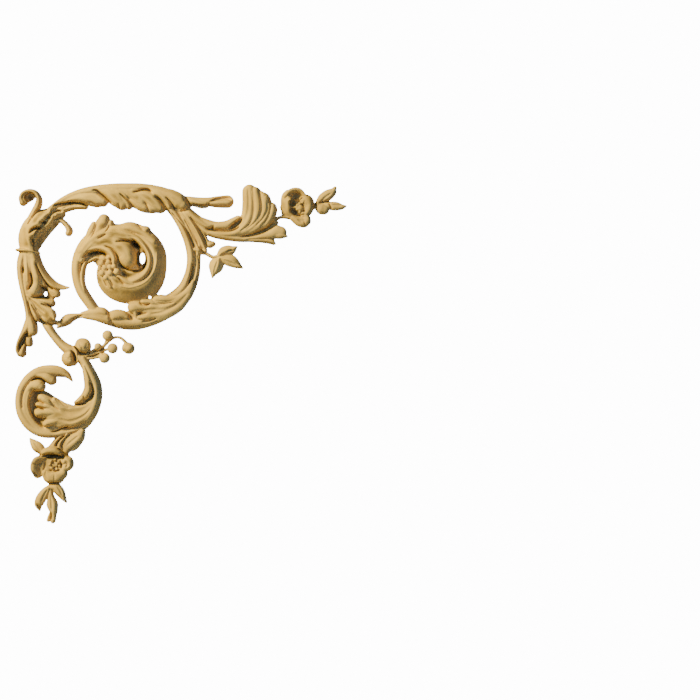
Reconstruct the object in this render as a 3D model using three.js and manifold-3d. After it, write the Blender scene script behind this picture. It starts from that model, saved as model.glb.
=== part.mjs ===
// Spandrel applique: a carved scroll-leaf corner ornament, cast in one piece with a flat back.
// X runs to the right and Z up, as the ornament hangs. The flat back lies in the plane Y = 0
// and the relief rises towards -Y. The origin is the centre of the round boss, on the back.
import * as THREE from "three";
import { mergeVertices } from "three/addons/utils/BufferGeometryUtils.js";
import Module from "manifold-3d";

const wasm = await Module();
wasm.setup();

// Driving sizes, in mm
const SPANDREL_WIDTH = 300;
const RELIEF_HEIGHT = 22.8;
const STEM_WIDTH = 8.2;
const HANGING_BERRY_DIAMETER = 9.6;
const CLUSTER_BERRY_DIAMETER = 5;
const SEED_DIAMETER = 3.3;
const EYE_WIDTH = 4.9;
const EYE_LENGTH = 10.2;

// The carving is laid out on a drawing of squares, x to the right and y down.
// Its proportions are shares of the ornament's own width.
const DRAWING_WIDTH = 330;
const BOSS_ON_DRAWING = [130.5, 268];
const BOSS_TOP = 25.2;
const square = SPANDREL_WIDTH / DRAWING_WIDTH;
const rise = RELIEF_HEIGHT / BOSS_TOP;
const stem = STEM_WIDTH / 2 / square;
const berry = HANGING_BERRY_DIAMETER / 2 / square;
const grape = CLUSTER_BERRY_DIAMETER / 2 / square;
const seed = SEED_DIAMETER / 2 / square;

// Cross-sections of a carved stroke: the height at five places from its left edge to its right,
// as shares of the stroke's own height
const round = [0.3, 0.84, 1, 0.84, 0.3];
const crown = [0.6, 0.92, 1, 0.92, 0.6];
const flat = [0.8, 1, 1, 1, 0.8];
const roll = [0.5, 0.93, 1, 0.9, 0.45];
const keel = [0.45, 0.76, 1, 0.76, 0.45];
const fallright = [0.95, 1, 0.84, 0.62, 0.35];
const fallleft = [0.35, 0.62, 0.84, 1, 0.95];

// Each stroke: its name, its cross-section, then its points along the drawing as
// [x, y, half of its width, height]. It starts inside a neighbour and ends in a round tip.
const strokes = [
  // corner cup above the collar
  ["collar", round, [15.5, 249.6, 1.2, 13], [19, 249.8, 2, 15.5], [26, 250.2, 2.5, 17.5],
    [33, 251.5, 2.3, 15.5], [38, 253, 1.5, 12]],
  ["finial", round, [26, 251, 5, 12], [23.5, 238, 4.7, 13], [27, 225, 4.5, 12.5],
    [32.5, 214, 3.8, 12.5], [37.6, 204.5, 3.9, 13], [38.2, 197.5, 3, 13.5], [34.5, 192.3, 2.6, 14],
    [28.5, 190.8, 2.4, 14], [22.9, 193, 2.5, 14], [20.6, 197.4, 2.8, 14], [22.4, 202, 3.9, 14]],
  ["finial web", flat, [34, 194, 3, 5.5], [29, 196.6, 4.6, 5.5], [25, 200, 3.4, 5.5]],
  ["cup front", fallleft, [26.4, 251, 7, 15.5], [25, 238, 7.6, 17.5], [29, 227, 8, 19.5],
    [36, 219, 7.6, 20], [42.6, 214, 5.4, 18.5], [47, 211.4, 3.6, 16.5]],
  ["cup flank", fallright, [33, 250, 4.5, 9.5], [37, 240, 6.4, 11], [43.5, 230, 7, 12],
    [51, 221.6, 7, 12], [57.5, 216.4, 5.4, 11.5], [61, 214, 4, 11]],
  ["cup lobe", crown, [32.5, 244, 2.6, 12.5], [34.6, 238, 3.2, 14], [38, 232.6, 3, 14]],
  ["cup hook", round, [56, 218, 2.6, 9.5], [61.6, 220.9, 2.5, 10], [66.4, 225.4, 2.9, 11],
    [68.9, 230.4, 3.6, 12], [68, 232.8, 3.5, 11]],
  // arch with its leaf
  ["arch under", round, [46, 217, 4, 9], [55, 211.4, 4.6, 10.5], [66, 207.9, 4, 11.5],
    [76, 205.9, 3.3, 12], [84.6, 206.3, 3.1, 12]],
  ["arch back", crown, [47, 211.5, 3, 13], [54, 205.5, 2.8, 13.5], [62, 200.6, 3.6, 14],
    [72, 195.9, 4.2, 14.5], [84, 192, 4.6, 15], [96, 189.8, 4.8, 15], [110, 188.2, 4.8, 15],
    [128, 187.5, 4.8, 15], [145, 188.5, 5, 14.5], [160, 191.6, 5.5, 14], [172, 196, 6, 13.5],
    [181, 200.5, 6, 12.5], [187, 203.5, 5, 11.5]],
  ["arch leaf 1", roll, [56.4, 204.8, 2, 13.5], [68, 199.2, 4.4, 15], [80, 197, 6.6, 16],
    [90, 197.8, 8, 16.5], [97, 200, 7.4, 16], [102.6, 201.4, 5.2, 15]],
  ["arch leaf 2", roll, [99.4, 191, 3.4, 15], [109, 193, 8, 16.5], [117, 198.6, 8.6, 16.5],
    [121.6, 202.6, 7.4, 15.5]],
  ["arch lobe 2b", roll, [112, 190, 6, 15.5], [122, 195, 6, 16.5], [127, 202, 4.6, 15.5],
    [128.4, 205.6, 3.8, 14.5]],
  ["arch leaf 3", roll, [120, 190, 5, 15], [133, 194.5, 7.6, 16], [139.6, 200.6, 7.6, 16],
    [141.6, 204.6, 6.6, 15]],
  ["arch lobe 3b", roll, [132, 191, 5.6, 15.5], [146, 196.5, 8.6, 17], [154.6, 203, 8.8, 16.5],
    [159.6, 206.4, 6.8, 15.5]],
  ["arch lobe 3 fill", crown, [126, 200, 4, 14], [135, 203, 5, 14.6], [143, 205.6, 6.4, 14.8],
    [151, 206.6, 6.6, 14.8], [157, 207, 5.6, 14.5]],
  ["arch lobe 4a", roll, [148, 190, 4.6, 14.5], [159.5, 194, 5.4, 16], [166.5, 200.6, 4.4, 15.5],
    [169, 206.6, 2.8, 13.5]],
  ["arch lobe 4b", roll, [156, 191.5, 5, 15], [169, 196, 7.6, 16.5], [178, 200.8, 8.2, 16.5],
    [182, 203.8, 6.8, 15.5]],
  // the two pods and the large leaf that grow from the arch's end
  ["pod 1a", round, [184, 199.5, 4, 10.5], [194, 201.6, 4.6, 12], [201, 203.6, 4.6, 12.5],
    [205, 204.3, 3.7, 12]],
  ["pod 1b", round, [184, 198, 2.6, 9], [196, 199.6, 3, 9.5], [207, 201.3, 4.4, 10],
    [217, 201.5, 5.9, 10.5], [227, 201.2, 6.6, 10.5]],
  ["pod 2a", round, [182, 207, 5, 11], [190, 214, 5, 12.5], [198, 220.3, 5, 12.5],
    [206, 225.3, 4.2, 12], [209.6, 226.9, 2.9, 11.5]],
  ["pod 2b", crown, [194, 217, 3, 10], [206, 222.5, 4, 11], [216, 225.3, 4.1, 12],
    [226, 225.1, 4.8, 12.5], [233.5, 222.8, 5.6, 13], [238, 220.6, 5.4, 13]],
  ["leaf stem", round, [183, 207, 5, 10], [192, 218.5, 5, 10.5], [201, 228, 4, 9.5],
    [212, 233.6, 3.6, 9.5], [224, 236.4, 3.6, 9.5], [238, 238, 3.8, 9], [252, 238.6, 3.4, 8.5],
    [264, 239.8, 3.2, 8], [270.6, 241.6, 2.6, 7], [273.2, 243.4, 1.6, 6]],
  ["leaf low", crown, [236, 238, 3.2, 8], [254, 237.4, 4.4, 9], [267, 235, 6, 10.5],
    [275, 231.6, 6.8, 11], [280.6, 232, 6, 10.5]],
  ["leaf low tip", crown, [275, 234, 4.4, 10], [281, 234.8, 4, 10.5], [286.6, 236, 1.2, 9]],
  ["leaf rib 1", crown, [208, 232.4, 3, 9.5], [226, 233, 4.8, 11], [240, 228.6, 7, 12.5],
    [248, 217.4, 7.6, 14], [249.6, 205, 7.6, 15], [249.4, 191.6, 7.4, 14.5]],
  ["leaf rib 2", crown, [224, 234.6, 3, 9], [241, 231, 5.6, 11.5], [252.4, 223.4, 7.6, 13.5],
    [257.4, 211.6, 7.6, 15.5], [257, 201, 7, 16], [255, 193, 6.4, 15.5]],
  ["leaf rib 3", crown, [240, 235, 3, 9], [254, 228.6, 5.6, 12], [262.4, 219, 7, 14],
    [265.6, 208, 6.8, 15.5], [264.4, 199.4, 6.2, 15.5], [263.4, 197.4, 5.4, 15]],
  ["leaf rib 4", crown, [250, 233.5, 3, 8.5], [262, 226.6, 4.8, 11], [268.4, 218.4, 5.6, 13],
    [271.6, 210.6, 5.6, 14], [271.8, 207.4, 5, 13.5]],
  ["leaf face", flat, [228, 232.6, 3, 9.5], [242, 228.6, 6, 11], [252, 220, 9.6, 12.2],
    [258, 209.6, 11.6, 13.4], [257.6, 199.6, 9.8, 14]],
  ["leaf hollow", flat, [250, 235.5, 2, 5], [262, 231, 4, 5.5], [271, 226.5, 4.4, 5.5],
    [276, 222.5, 2.4, 5.5]],
  // upper flower, its stem and its leaves
  ["flower stem", round, [267, 224, 2, 7.5], [273, 220.8, 1.9, 7.5], [279, 217.2, 1.7, 7],
    [285, 216.8, 1.8, 7], [291, 217.6, 2, 7]],
  ["flower disc", flat, [292, 202, 7, 5.4], [298, 208.5, 9.4, 5.4]],
  ["flower bridge", round, [288, 207.4, 2.2, 9], [293, 207, 1.7, 9.5], [298, 207, 2.4, 10.5]],
  ["petal left", fallleft, [291.4, 217, 3, 9], [286.4, 211.6, 4.4, 11.5], [285.2, 203, 4.8, 13],
    [286.2, 196.6, 5, 12.8], [288, 193.6, 4.4, 12]],
  ["petal top", fallright, [286.6, 197, 3.4, 12.5], [291.4, 193.6, 5.2, 13.6], [298, 193, 5.4, 13.2],
    [303.4, 196.4, 3.6, 12]],
  ["petal right", crown, [301.6, 198.4, 3.4, 12], [306.6, 199.8, 5.8, 13.5], [308.6, 205.4, 6, 13.5],
    [306.6, 211.4, 5, 12.5], [303, 213.6, 3, 11.5]],
  ["petal low", crown, [293, 217.6, 3.6, 10], [298.6, 221, 5, 11.5], [303.6, 222, 5.4, 12],
    [306.4, 220.6, 4.6, 11.5]],
  ["sprig joint", round, [309, 205, 3, 8], [316, 205.3, 2.6, 6], [322, 205, 3, 8]],
  ["sprig leaf up", crown, [317.6, 203, 2.6, 8], [322, 198.4, 4.8, 10], [327.5, 195, 5.5, 10.5],
    [332.5, 191.5, 4.2, 9.5], [335, 187.6, 1.8, 7.5]],
  ["sprig leaf out", crown, [324, 204, 3, 7.5], [330, 205.4, 4.2, 9], [336.5, 205.9, 4.4, 9],
    [342, 206.5, 2.8, 8], [346.5, 205.6, 0.7, 6]],
  ["sprig leaf down", crown, [317, 206, 3.6, 9], [320.6, 208.2, 5.6, 11], [323.8, 208.9, 5.5, 10.5]],
  // ring
  ["ring inner", round, [164, 203, 4, 10.5], [171, 209.6, 4.2, 11], [178, 219.4, 4.4, 11.5],
    [184, 231, 4.5, 11.5], [188.4, 243, 4.5, 11.5], [190.9, 255, 4.7, 11.5], [190.4, 267, 4.7, 11.5],
    [187.5, 278, 5, 11.5], [182.2, 288, 5.2, 11.5], [174, 295.5, 5.2, 11], [165, 299.5, 4, 10.5]],
  ["ring web", flat, [184, 214, 4.6, 8.4], [190, 226, 5.6, 8.4], [195, 238, 5.6, 8], [198, 249, 3.4, 7],
    [196, 262, 3.4, 7], [194, 273, 3.6, 7], [190, 284, 3.6, 7.6]],
  ["ring sheath 1", round, [183, 210, 3.8, 11], [189, 219, 3.2, 11.5], [195, 228.5, 2.9, 11.5],
    [200, 238, 2.8, 11], [203.6, 246, 2.3, 10], [205.6, 250, 1.5, 9]],
  ["sheath fill", flat, [194, 228, 4, 6], [202, 239, 4, 6], [206, 245, 2.5, 6]],
  ["bud", round, [205.5, 243.3, 2.4, 7], [209.5, 244, 4.2, 9], [212.3, 243.7, 3, 8.5]],
  ["ring node", round, [194, 249, 3, 10], [199, 250.3, 3.6, 11.5], [203.5, 252, 2.8, 9.5]],
  ["sprig stalk", round, [203, 251.5, 2, 7], [207.5, 254.3, 1.9, 6.5], [212.5, 256.8, 1.8, 6],
    [218, 256, 1.8, 6.5], [222, 257, 1.6, 6.5]],
  ["side leaf up", keel, [218, 256, 2.4, 7], [222.4, 251.6, 4.8, 8.6], [227.6, 250.4, 5.4, 9.2],
    [232.2, 249.2, 4.2, 8.6], [236.6, 246.3, 0.8, 6.4]],
  ["side leaf right", keel, [219, 256.5, 2.4, 7], [225.5, 259.2, 5.4, 9.4], [231.5, 261, 6.1, 9.4],
    [237, 264.6, 4, 8], [242.3, 267.8, 0.8, 6]],
  ["side leaf down", keel, [219.5, 257, 2.4, 7], [217, 262.5, 7, 9.4], [214.8, 268.3, 6.9, 9.4],
    [213, 273.3, 3.4, 8], [212, 277.5, 0.8, 6]],
  ["ring outer", round, [197.5, 251, 3, 10], [197.7, 262, 2.6, 9.5], [196.7, 273, 2.9, 9.5],
    [193.7, 283.5, 3.4, 9.5], [188.5, 293.7, 4.2, 10], [180.7, 303, 5.2, 10], [170.5, 310.3, 6, 10.5],
    [159, 316.2, 6.4, 11], [147, 320.5, 6.8, 11], [134.5, 322.5, 7.4, 11], [122, 322, 7.2, 11],
    [110, 319.3, 6.6, 10.5], [98, 316.5, 5.4, 10], [87, 315.3, 3.6, 9], [79, 315.6, 2.6, 8.5],
    [72.5, 317, 4, 9], [67, 319.4, 5.6, 10.5], [61.6, 323.4, 4.2, 9.5], [57, 327.3, 1.3, 7]],
  ["ring leaf body", crown, [193, 282, 3.6, 10.5], [186, 294, 6.4, 12], [174, 303, 8.4, 13],
    [160, 309.6, 9, 13.5], [150, 311.6, 8, 13.5]],
  ["ring leaf face", flat, [188, 293, 4.6, 11.2], [176, 304, 8.4, 12.2], [161, 310.6, 9.6, 13],
    [148, 312, 7.8, 13.2]],
  ["ring leaf 1", crown, [180, 296.6, 3, 11.5], [171, 299.2, 4, 13], [162, 298.9, 4.4, 14.5],
    [156.6, 298.7, 4, 14.5]],
  ["ring leaf 2", crown, [168, 303, 3, 12.5], [158, 302.6, 3.6, 14], [148.6, 302.2, 3.7, 15],
    [143.6, 301.9, 3.5, 15]],
  ["ring leaf 3", crown, [160, 307, 4, 13], [147, 306.6, 5.4, 15], [138.6, 306.4, 6.2, 16],
    [133.6, 307.2, 6.4, 16]],
  ["ring leaf 4", crown, [164, 313.6, 4, 12], [152, 315.6, 4.8, 12.8], [143, 317, 4.2, 13],
    [139, 317.4, 3.4, 12.6]],
  ["ring leaf 5", crown, [82, 314.5, 3, 9.5], [93, 312.6, 4.6, 11.5], [100.6, 311.6, 4.8, 13.5],
    [104.4, 312.8, 4.2, 13.5]],
  ["ring leaf base", flat, [84, 315.4, 3.4, 9.4], [94, 315.8, 5, 11.2], [103, 317, 5.6, 12.2],
    [108, 318.4, 5.6, 12]],
  ["ring leaf 6", crown, [100, 317.8, 2.8, 10.5], [107.6, 317, 5, 13], [116, 315.2, 6, 14.5],
    [122, 315, 5, 14], [126, 316.6, 3.8, 13]],
  ["ring leaf fill", flat, [118, 317, 4, 7], [132, 314.5, 4.5, 7], [148, 312, 4, 7]],
  // scroll: stem, leaf over the top, boss
  ["scroll stem", round, [100, 318, 5, 9.5], [94, 309.5, 5.3, 10.5], [87.5, 300.5, 5.6, 11.5],
    [81.5, 291, 5.9, 12], [78, 281, 6, 12.5], [76.3, 270.5, 5.8, 13], [77.2, 260, 5.8, 14],
    [81, 250, 6.2, 15], [87.5, 241.3, 6.6, 16], [97, 234.3, 7, 17], [109, 230.4, 7, 17.5],
    [120, 229.4, 5.8, 17.5], [128, 228.2, 6.7, 17.2], [134.4, 229.6, 7, 17], [144.5, 234, 6.6, 16.5],
    [153, 241.5, 6.4, 17]],
  ["scroll back fill", flat, [82, 262, 3, 7.5], [87, 256.5, 5, 8], [97, 256, 7.5, 9],
    [108, 262, 12, 12]],
  ["cluster floor", flat, [102, 258, 4, 13.4], [107, 262, 6, 14.6], [108, 268, 8, 15.8],
    [111, 274, 7, 16.6], [116, 275, 5, 17.6]],
  ["boss shoulder", flat, [80, 260, 4, 14.5], [84.6, 249.6, 5, 16.5], [93.4, 240.4, 6, 18.4],
    [105, 235.4, 6.6, 19.4], [119, 234.6, 6.4, 20], [129, 237, 5, 20]],
  ["boss floor", flat, [110, 262, 9, 9], [121, 254, 16, 9], [134, 254, 17, 9]],
  ["boss floor low", flat, [112, 268, 10, 14], [124, 272, 10, 15], [136, 274, 9, 15]],
  ["scroll lobe 1", crown, [87, 240, 3.4, 13.5], [90.6, 232, 4.2, 14.5], [93, 226.4, 3.8, 14.5],
    [93.6, 224.6, 3.3, 14]],
  ["scroll lobe 2", crown, [92, 239, 4.4, 15], [98.6, 229.6, 6.4, 16.5], [102.6, 222.6, 6.8, 17],
    [103.6, 219.8, 6, 16.5]],
  ["scroll lobe 4", roll, [118, 231, 5, 15.5], [130, 228.7, 6.3, 16], [138, 229.8, 5, 15.5],
    [145.4, 230.8, 5.2, 14.6]],
  ["boss crescent", fallleft, [139, 234, 5, 16], [151, 240.6, 6.6, 18], [158, 252, 7.2, 20],
    [159.2, 267, 7, 21], [155.3, 280.5, 8.2, 21], [145.5, 290.5, 10, 21], [131, 293.8, 10.2, 21],
    [117, 290.5, 10.4, 21], [107, 282.3, 9.5, 20.5], [101.5, 272.5, 6, 18.5], [99.5, 266, 2.4, 14]],
  ["boss lip", round, [118, 234, 3.4, 18], [132, 236, 4.4, 20.5], [142.5, 243.3, 4.4, 22],
    [148.9, 254.5, 4.2, 23], [149.3, 266, 4.6, 23], [144, 275, 5.8, 23], [135.4, 280.2, 6.2, 22],
    [127, 281.4, 5.4, 20], [119, 279.6, 3.6, 17.5]],
  ["boss body", crown, [80, 252, 5, 16], [93, 243.5, 8.5, 18], [107, 241.5, 10.5, 20.5],
    [119, 246, 10, 23], [126.4, 253.5, 9, 24.8], [128, 260.5, 8, 24.5]],
  ["boss curl", crown, [118, 249, 5, 22], [124.4, 253.2, 8.8, 24.2], [127.6, 259, 9.3, 25.2]],
  ["boss fold", round, [84, 251.5, 3.4, 16], [97, 247.8, 5, 18.5], [108, 250, 6, 21.5],
    [114, 257.5, 5, 22.5], [114.3, 263, 4, 21]],
  // left stalk below the collar
  ["stalk left", round, [24.5, 250, 5, 12], [20.9, 261, 4.8, 14], [20.6, 273, 4.5, 14],
    [21.9, 284, 4, 13.5], [24.2, 295.5, 3.6, 13.5], [26.8, 306.5, 3.5, 13.5], [28.4, 317, 3.8, 13],
    [27.8, 324.5, 5, 13], [24.9, 331, 4.4, 12.5], [20.8, 337.5, 3.2, 12], [17.6, 344, 2.4, 12],
    [16.8, 350, 2.3, 11.5], [18.4, 354, 2.3, 10.5]],
  ["stalk web", flat, [29, 252, 5.6, 9], [29, 262, 8, 9], [31, 273, 9.6, 9], [33, 284, 9, 9],
    [32, 294, 6, 9], [34, 303, 6.4, 9], [37, 312, 7, 9]],
  ["stalk face", flat, [27, 254, 5, 13.4], [28.4, 262, 5.4, 14.6], [27.4, 270, 4.6, 14],
    [27, 280, 5, 13.5], [27.6, 290, 4, 13], [30, 300, 4, 12.5], [32, 309, 4, 12.5]],
  ["stalk web right", flat, [38, 267, 2.4, 7.5], [42.4, 275.6, 3.6, 7.5], [49, 283.4, 4.6, 7.5],
    [52, 291, 4.4, 7], [50, 298, 3.4, 6.5], [45, 301, 3, 6.5]],
  ["stalk bay floor", flat, [41.6, 287.6, 3.2, 6.5], [45, 291.6, 4.6, 6.5], [48, 297, 3.6, 6.5]],
  ["stalk second", round, [26, 251, 3.4, 13], [26.6, 263, 3.4, 15.5], [27.4, 273, 3.1, 16],
    [27.6, 280.6, 2.8, 15.5]],
  ["stalk front", crown, [31, 251, 4.2, 14], [34, 264, 5.2, 17], [36.4, 275, 5.2, 18.5],
    [36.6, 284, 5.6, 18.5], [34, 290.6, 5.8, 17.5]],
  ["stalk right", fallleft, [35, 252, 3.4, 13.5], [37.8, 262, 3.7, 15.5], [42.4, 271.8, 3.8, 16.5],
    [49, 280.4, 4, 16], [56, 285.5, 3.5, 14], [62.6, 287.3, 2.5, 11], [68.2, 287.4, 0.9, 8]],
  ["stalk right inner", roll, [38, 270, 3, 14], [41.6, 278, 3.3, 15], [43.6, 284.6, 3.2, 14.5]],
  ["stalk right end", crown, [46, 280, 3, 13], [50.6, 286.6, 3.8, 14], [54.6, 291.6, 4.4, 13.5],
    [56, 293.6, 4.2, 13]],
  ["stalk lobe 1", crown, [28.5, 288, 2.8, 13.5], [33, 293.4, 4, 14.5], [38, 292.8, 3.8, 14.5]],
  ["stalk lobe 2", roll, [29, 296, 3, 13.5], [37, 299.4, 3.2, 14.5], [45, 301.6, 3.6, 15],
    [51, 303, 4, 14]],
  ["stalk lobe 3", fallright, [27, 297, 3, 14], [35, 303.6, 4.8, 16], [42.6, 309.8, 6.4, 17.5],
    [48.6, 315.2, 7.4, 17.5]],
  ["stalk lobe 4", crown, [27, 300, 3, 12.5], [31.5, 309, 3.8, 14], [35.2, 315.4, 4, 14.5],
    [36.6, 318, 3.3, 13.5]],
  ["stalk under", flat, [38, 319, 3, 7], [46, 321.5, 3.4, 7.5], [55, 322.5, 2.6, 7.5],
    [61, 323, 2.4, 7]],
  ["tail lobe 1", roll, [28.5, 315, 4, 12.5], [31, 324.6, 5.8, 14], [31.6, 330.6, 5.8, 13.5]],
  ["tail lobe 2", roll, [27, 334, 2.8, 9.5], [28.3, 340, 3.8, 11], [28.6, 343.3, 3.8, 10.5]],
  ["tail web", flat, [28, 334, 3.4, 6], [22.5, 340, 4.4, 5.5], [19, 346, 3.4, 5.5],
    [18, 351, 2.6, 5.5]],
  ["tail ball", round, [24, 345, 2.2, 9.5], [22, 349.6, 3.8, 11.5], [21.3, 353, 4.6, 12]],
  // lower stem, knot and berries
  ["low stem", round, [43, 318, stem * 1, 9.5], [47.5, 327, stem * 1, 9.5],
    [54, 336.5, stem * 0.95, 9.5], [61, 344.5, stem * 1, 10], [67.5, 349.5, stem * 1.2, 11],
    [73, 352.5, stem * 1.3, 11], [78, 356, stem * 1.1, 11], [82, 361, stem * 1, 11.5],
    [86.5, 367.5, stem * 1.2, 12]],
  ["knot upper", round, [77, 349.6, 5.4, 13], [80.8, 346.6, 8.2, 15.5], [82.2, 346.2, 8.4, 15.5]],
  ["knot lower", round, [70, 354, 5, 13], [68, 357.6, 7.4, 14.5], [68.6, 359.2, 7.6, 14.5]],
  ["berry stalk 1", round, [80, 356, 2.4, 8], [88, 355.6, 2.3, 7.5], [95.5, 352.3, 1.9, 7],
    [102, 347, 1.8, 6.5], [108, 341, 1.7, 6.5], [114, 337.4, 1.4, 6], [119.5, 337.7, 1.4, 6],
    [123.6, 340.8, 1.6, 6], [126.5, 344.6, 1.9, 6]],
  ["berry stalk 2", round, [83, 358.5, 1.6, 7], [91, 358.2, 1.6, 6.5], [98, 356.6, 1.7, 6.5],
    [102, 356, 2, 6.5]],
  ["berry stalk 3", round, [92, 354, 1.3, 7], [99, 352.2, 1.3, 6.5], [106, 349.5, 1.4, 6.5],
    [110, 348.5, 1.6, 6.5]],
  ["berry stalk 4", round, [88, 354, 1.6, 7.5], [94, 349.5, 1.6, 7], [98, 347, 2, 7]],
  ["berry stalk 5", round, [104, 345, 1.4, 6.5], [106, 340, 1.5, 6.5], [107, 337, 2, 6.5]],
  ["end berry", round, [125.6, 347.2, 5.4, 10.5], [127.8, 348.2, 6, 11.5], [128.4, 348.4, 5.8, 11.5]],
  ["berry floor", flat, [91, 354.6, 2.4, 5.5], [97, 354, 2.6, 5.5], [101.4, 353, 1.8, 5.5]],
  // lower C-scroll
  ["hook stem", round, [82, 358, 4.4, 11.5], [86.5, 366.5, 5.2, 12.5], [91, 376, 6, 13],
    [94.5, 386, 6.6, 13.5], [95.3, 397, 6.4, 13.5], [92.8, 407.5, 6.4, 13.5], [87.5, 416.5, 7, 13],
    [80, 424, 7.4, 11.5], [70, 429, 5.6, 10]],
  ["hook sheath", roll, [83.5, 366, 2.4, 13], [87, 377.6, 4, 15.5], [88.4, 387.6, 4.8, 17],
    [85.6, 394.8, 4.6, 16.5], [80.6, 399.2, 3.4, 14.5], [75, 402.6, 1.8, 12]],
  ["hook rim", crown, [71.8, 381.3, 0.7, 8], [66.5, 375, 3.4, 10], [58, 371.7, 5.6, 12],
    [47.5, 370.8, 5.9, 13], [36.5, 373, 5.3, 13.5], [27.2, 380, 4.9, 13.5], [21, 390, 4.5, 13.5],
    [18.9, 401.5, 4.4, 13.5], [20.7, 413, 4.5, 13.5], [26.3, 423, 4.7, 13.5], [35, 430.3, 4.7, 13],
    [46, 433.8, 4.5, 12.5], [58, 433.4, 4, 11], [69, 431, 3.4, 10], [80, 427, 3, 9.5]],
  ["hook band", flat, [30.4, 381.4, 2.4, 12.4], [24.8, 391, 2.8, 12.6], [22.6, 402, 2.8, 12.6],
    [24.4, 412.8, 2.8, 12.4], [29.6, 422, 2.8, 12], [37, 428.6, 2.6, 11.6]],
  ["hook inner", flat, [33, 384, 4, 12], [27.8, 391.5, 3.6, 12.6], [25.6, 402, 3.3, 12.4],
    [27.5, 412.5, 3.2, 12], [32, 421, 3.1, 11.6], [39, 427.3, 3.2, 11], [48, 431, 2.6, 10]],
  ["hook lobe 1", roll, [35, 374.5, 4, 13], [45, 377, 5.4, 14.5], [51, 380.2, 5.2, 13.5]],
  ["hook lobe 2", crown, [27, 391, 4, 13], [31.5, 385.8, 5.6, 15.5], [37.4, 385.4, 6.2, 16.5],
    [39.6, 386.4, 5.6, 16]],
  ["hook bay fill", flat, [73, 407.4, 2, 9.5], [80, 406, 3.4, 10], [87, 402.4, 3.6, 10],
    [92, 396, 3, 10]],
  ["hook top floor", flat, [37.6, 392.4, 2.2, 3.4], [43.6, 392.9, 2.2, 3.4], [49, 395.8, 2.2, 3.4],
    [53.4, 398.6, 1.8, 3.4]],
  ["hook web", flat, [30, 391, 3, 3.4], [36, 390.5, 4, 3.4], [34, 398, 4.8, 3.4], [32, 406, 5.4, 3.4],
    [34.5, 415, 5.4, 3.4], [40, 422.5, 5.4, 4], [50, 427, 5, 8], [62, 427, 4, 9]],
  ["hook body", flat, [93, 402, 5.4, 12.5], [86.4, 411.4, 8.4, 13], [76, 416.2, 10.4, 13.5],
    [65, 415.6, 12.2, 13.5], [55, 413, 12.6, 14], [49, 411.6, 10.6, 14]],
  ["hook leaf 1", crown, [60, 410, 3, 11], [53, 404.6, 5, 14.5], [45, 399.6, 5.6, 17],
    [42, 397.8, 4.8, 16.5]],
  ["hook leaf 4", crown, [60, 410.6, 2.6, 11], [48, 406.6, 3.6, 15], [40.6, 405, 3.2, 16.5],
    [37.8, 404.6, 2.7, 16]],
  ["hook leaf 5", crown, [62, 414.6, 2.6, 11], [50, 412.8, 4.6, 15.5], [41.4, 412.4, 5.2, 17],
    [38, 413, 4.8, 16.5]],
  ["hook leaf 6", crown, [68, 420, 2.6, 11], [57, 420.4, 4.4, 14], [48.4, 422.8, 4.2, 15],
    [45.8, 424, 3.5, 15]],
  // lower flower and leaves
  ["drop stem", round, [66, 431, stem * 0.8, 9.5], [59.5, 438, stem * 0.89, 10],
    [54.4, 444.5, stem * 0.89, 10], [50, 450.6, stem * 1, 10]],
  ["drop fill", flat, [58, 436, 3, 6], [64, 440, 5, 6], [60, 448, 6, 6]],
  ["drop leaf right", crown, [81.6, 431, 3.4, 9.5], [78.6, 436.6, 6, 11.5], [72.4, 442.6, 7.8, 12],
    [67.4, 447.4, 6.6, 11.5], [65.6, 451, 3.8, 10.5]],
  ["drop leaf left", crown, [42, 454, 3, 9], [39.4, 449.6, 5.2, 10], [35.4, 445.8, 5.2, 10],
    [31.8, 442, 3.2, 8.5], [29.2, 438.8, 0.8, 6.5]],
  ["drop disc", flat, [44, 465.6, 9, 8.6], [52, 466, 11, 8.6], [60, 465, 8, 8.6]],
  ["drop calyx", flat, [42, 457, 5, 7.5], [50, 457, 5, 7.5], [61, 457, 5, 7.5]],
  ["petal hood", crown, [42.6, 453.4, 2.6, 13], [47.6, 450.8, 4, 15], [54, 450.7, 4.4, 15.5],
    [60, 452.6, 3.7, 14], [63, 455, 2.6, 12]],
  ["petal B", fallleft, [44, 459, 3.2, 12], [38, 461.6, 5.6, 13.6], [36, 468, 6, 13.6],
    [37.4, 474, 4.6, 12.6]],
  ["petal D", crown, [44.6, 472.6, 4.4, 12.5], [49.4, 476.4, 7.4, 14], [56, 476.8, 8, 14.5],
    [61.4, 474, 5.6, 13.5]],
  ["petal E", crown, [61, 460.6, 4.2, 12.5], [66, 461.4, 6, 14], [67.6, 465, 5.6, 14],
    [64, 468.6, 4.4, 12.5]],
  ["tip leaf left", crown, [49, 487, 2.4, 9], [44.5, 492.3, 4.4, 10.5], [40.2, 499, 5.2, 10.5],
    [38, 505, 4.2, 9.5], [38.8, 510.3, 1.2, 7]],
  ["tip leaf right", crown, [50, 487, 3, 9], [55, 487.4, 4.6, 11], [59.4, 492.6, 4.8, 11],
    [63, 498.5, 2.8, 9], [65.6, 502.6, 0.9, 7]],
  ["tip leaf middle", crown, [49.7, 490, 2, 8], [50.3, 497, 3.4, 10], [51.6, 504.5, 5.8, 11],
    [52.8, 511, 4.3, 10.5], [52.8, 516, 3, 9.5], [52.6, 519.5, 2.9, 9], [52.2, 521.6, 2.4, 8]],
  ["tip lobe", round, [50, 513, 1.5, 6], [48.4, 517.5, 1.9, 6.5], [47.6, 520.6, 2, 6]],];

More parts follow.
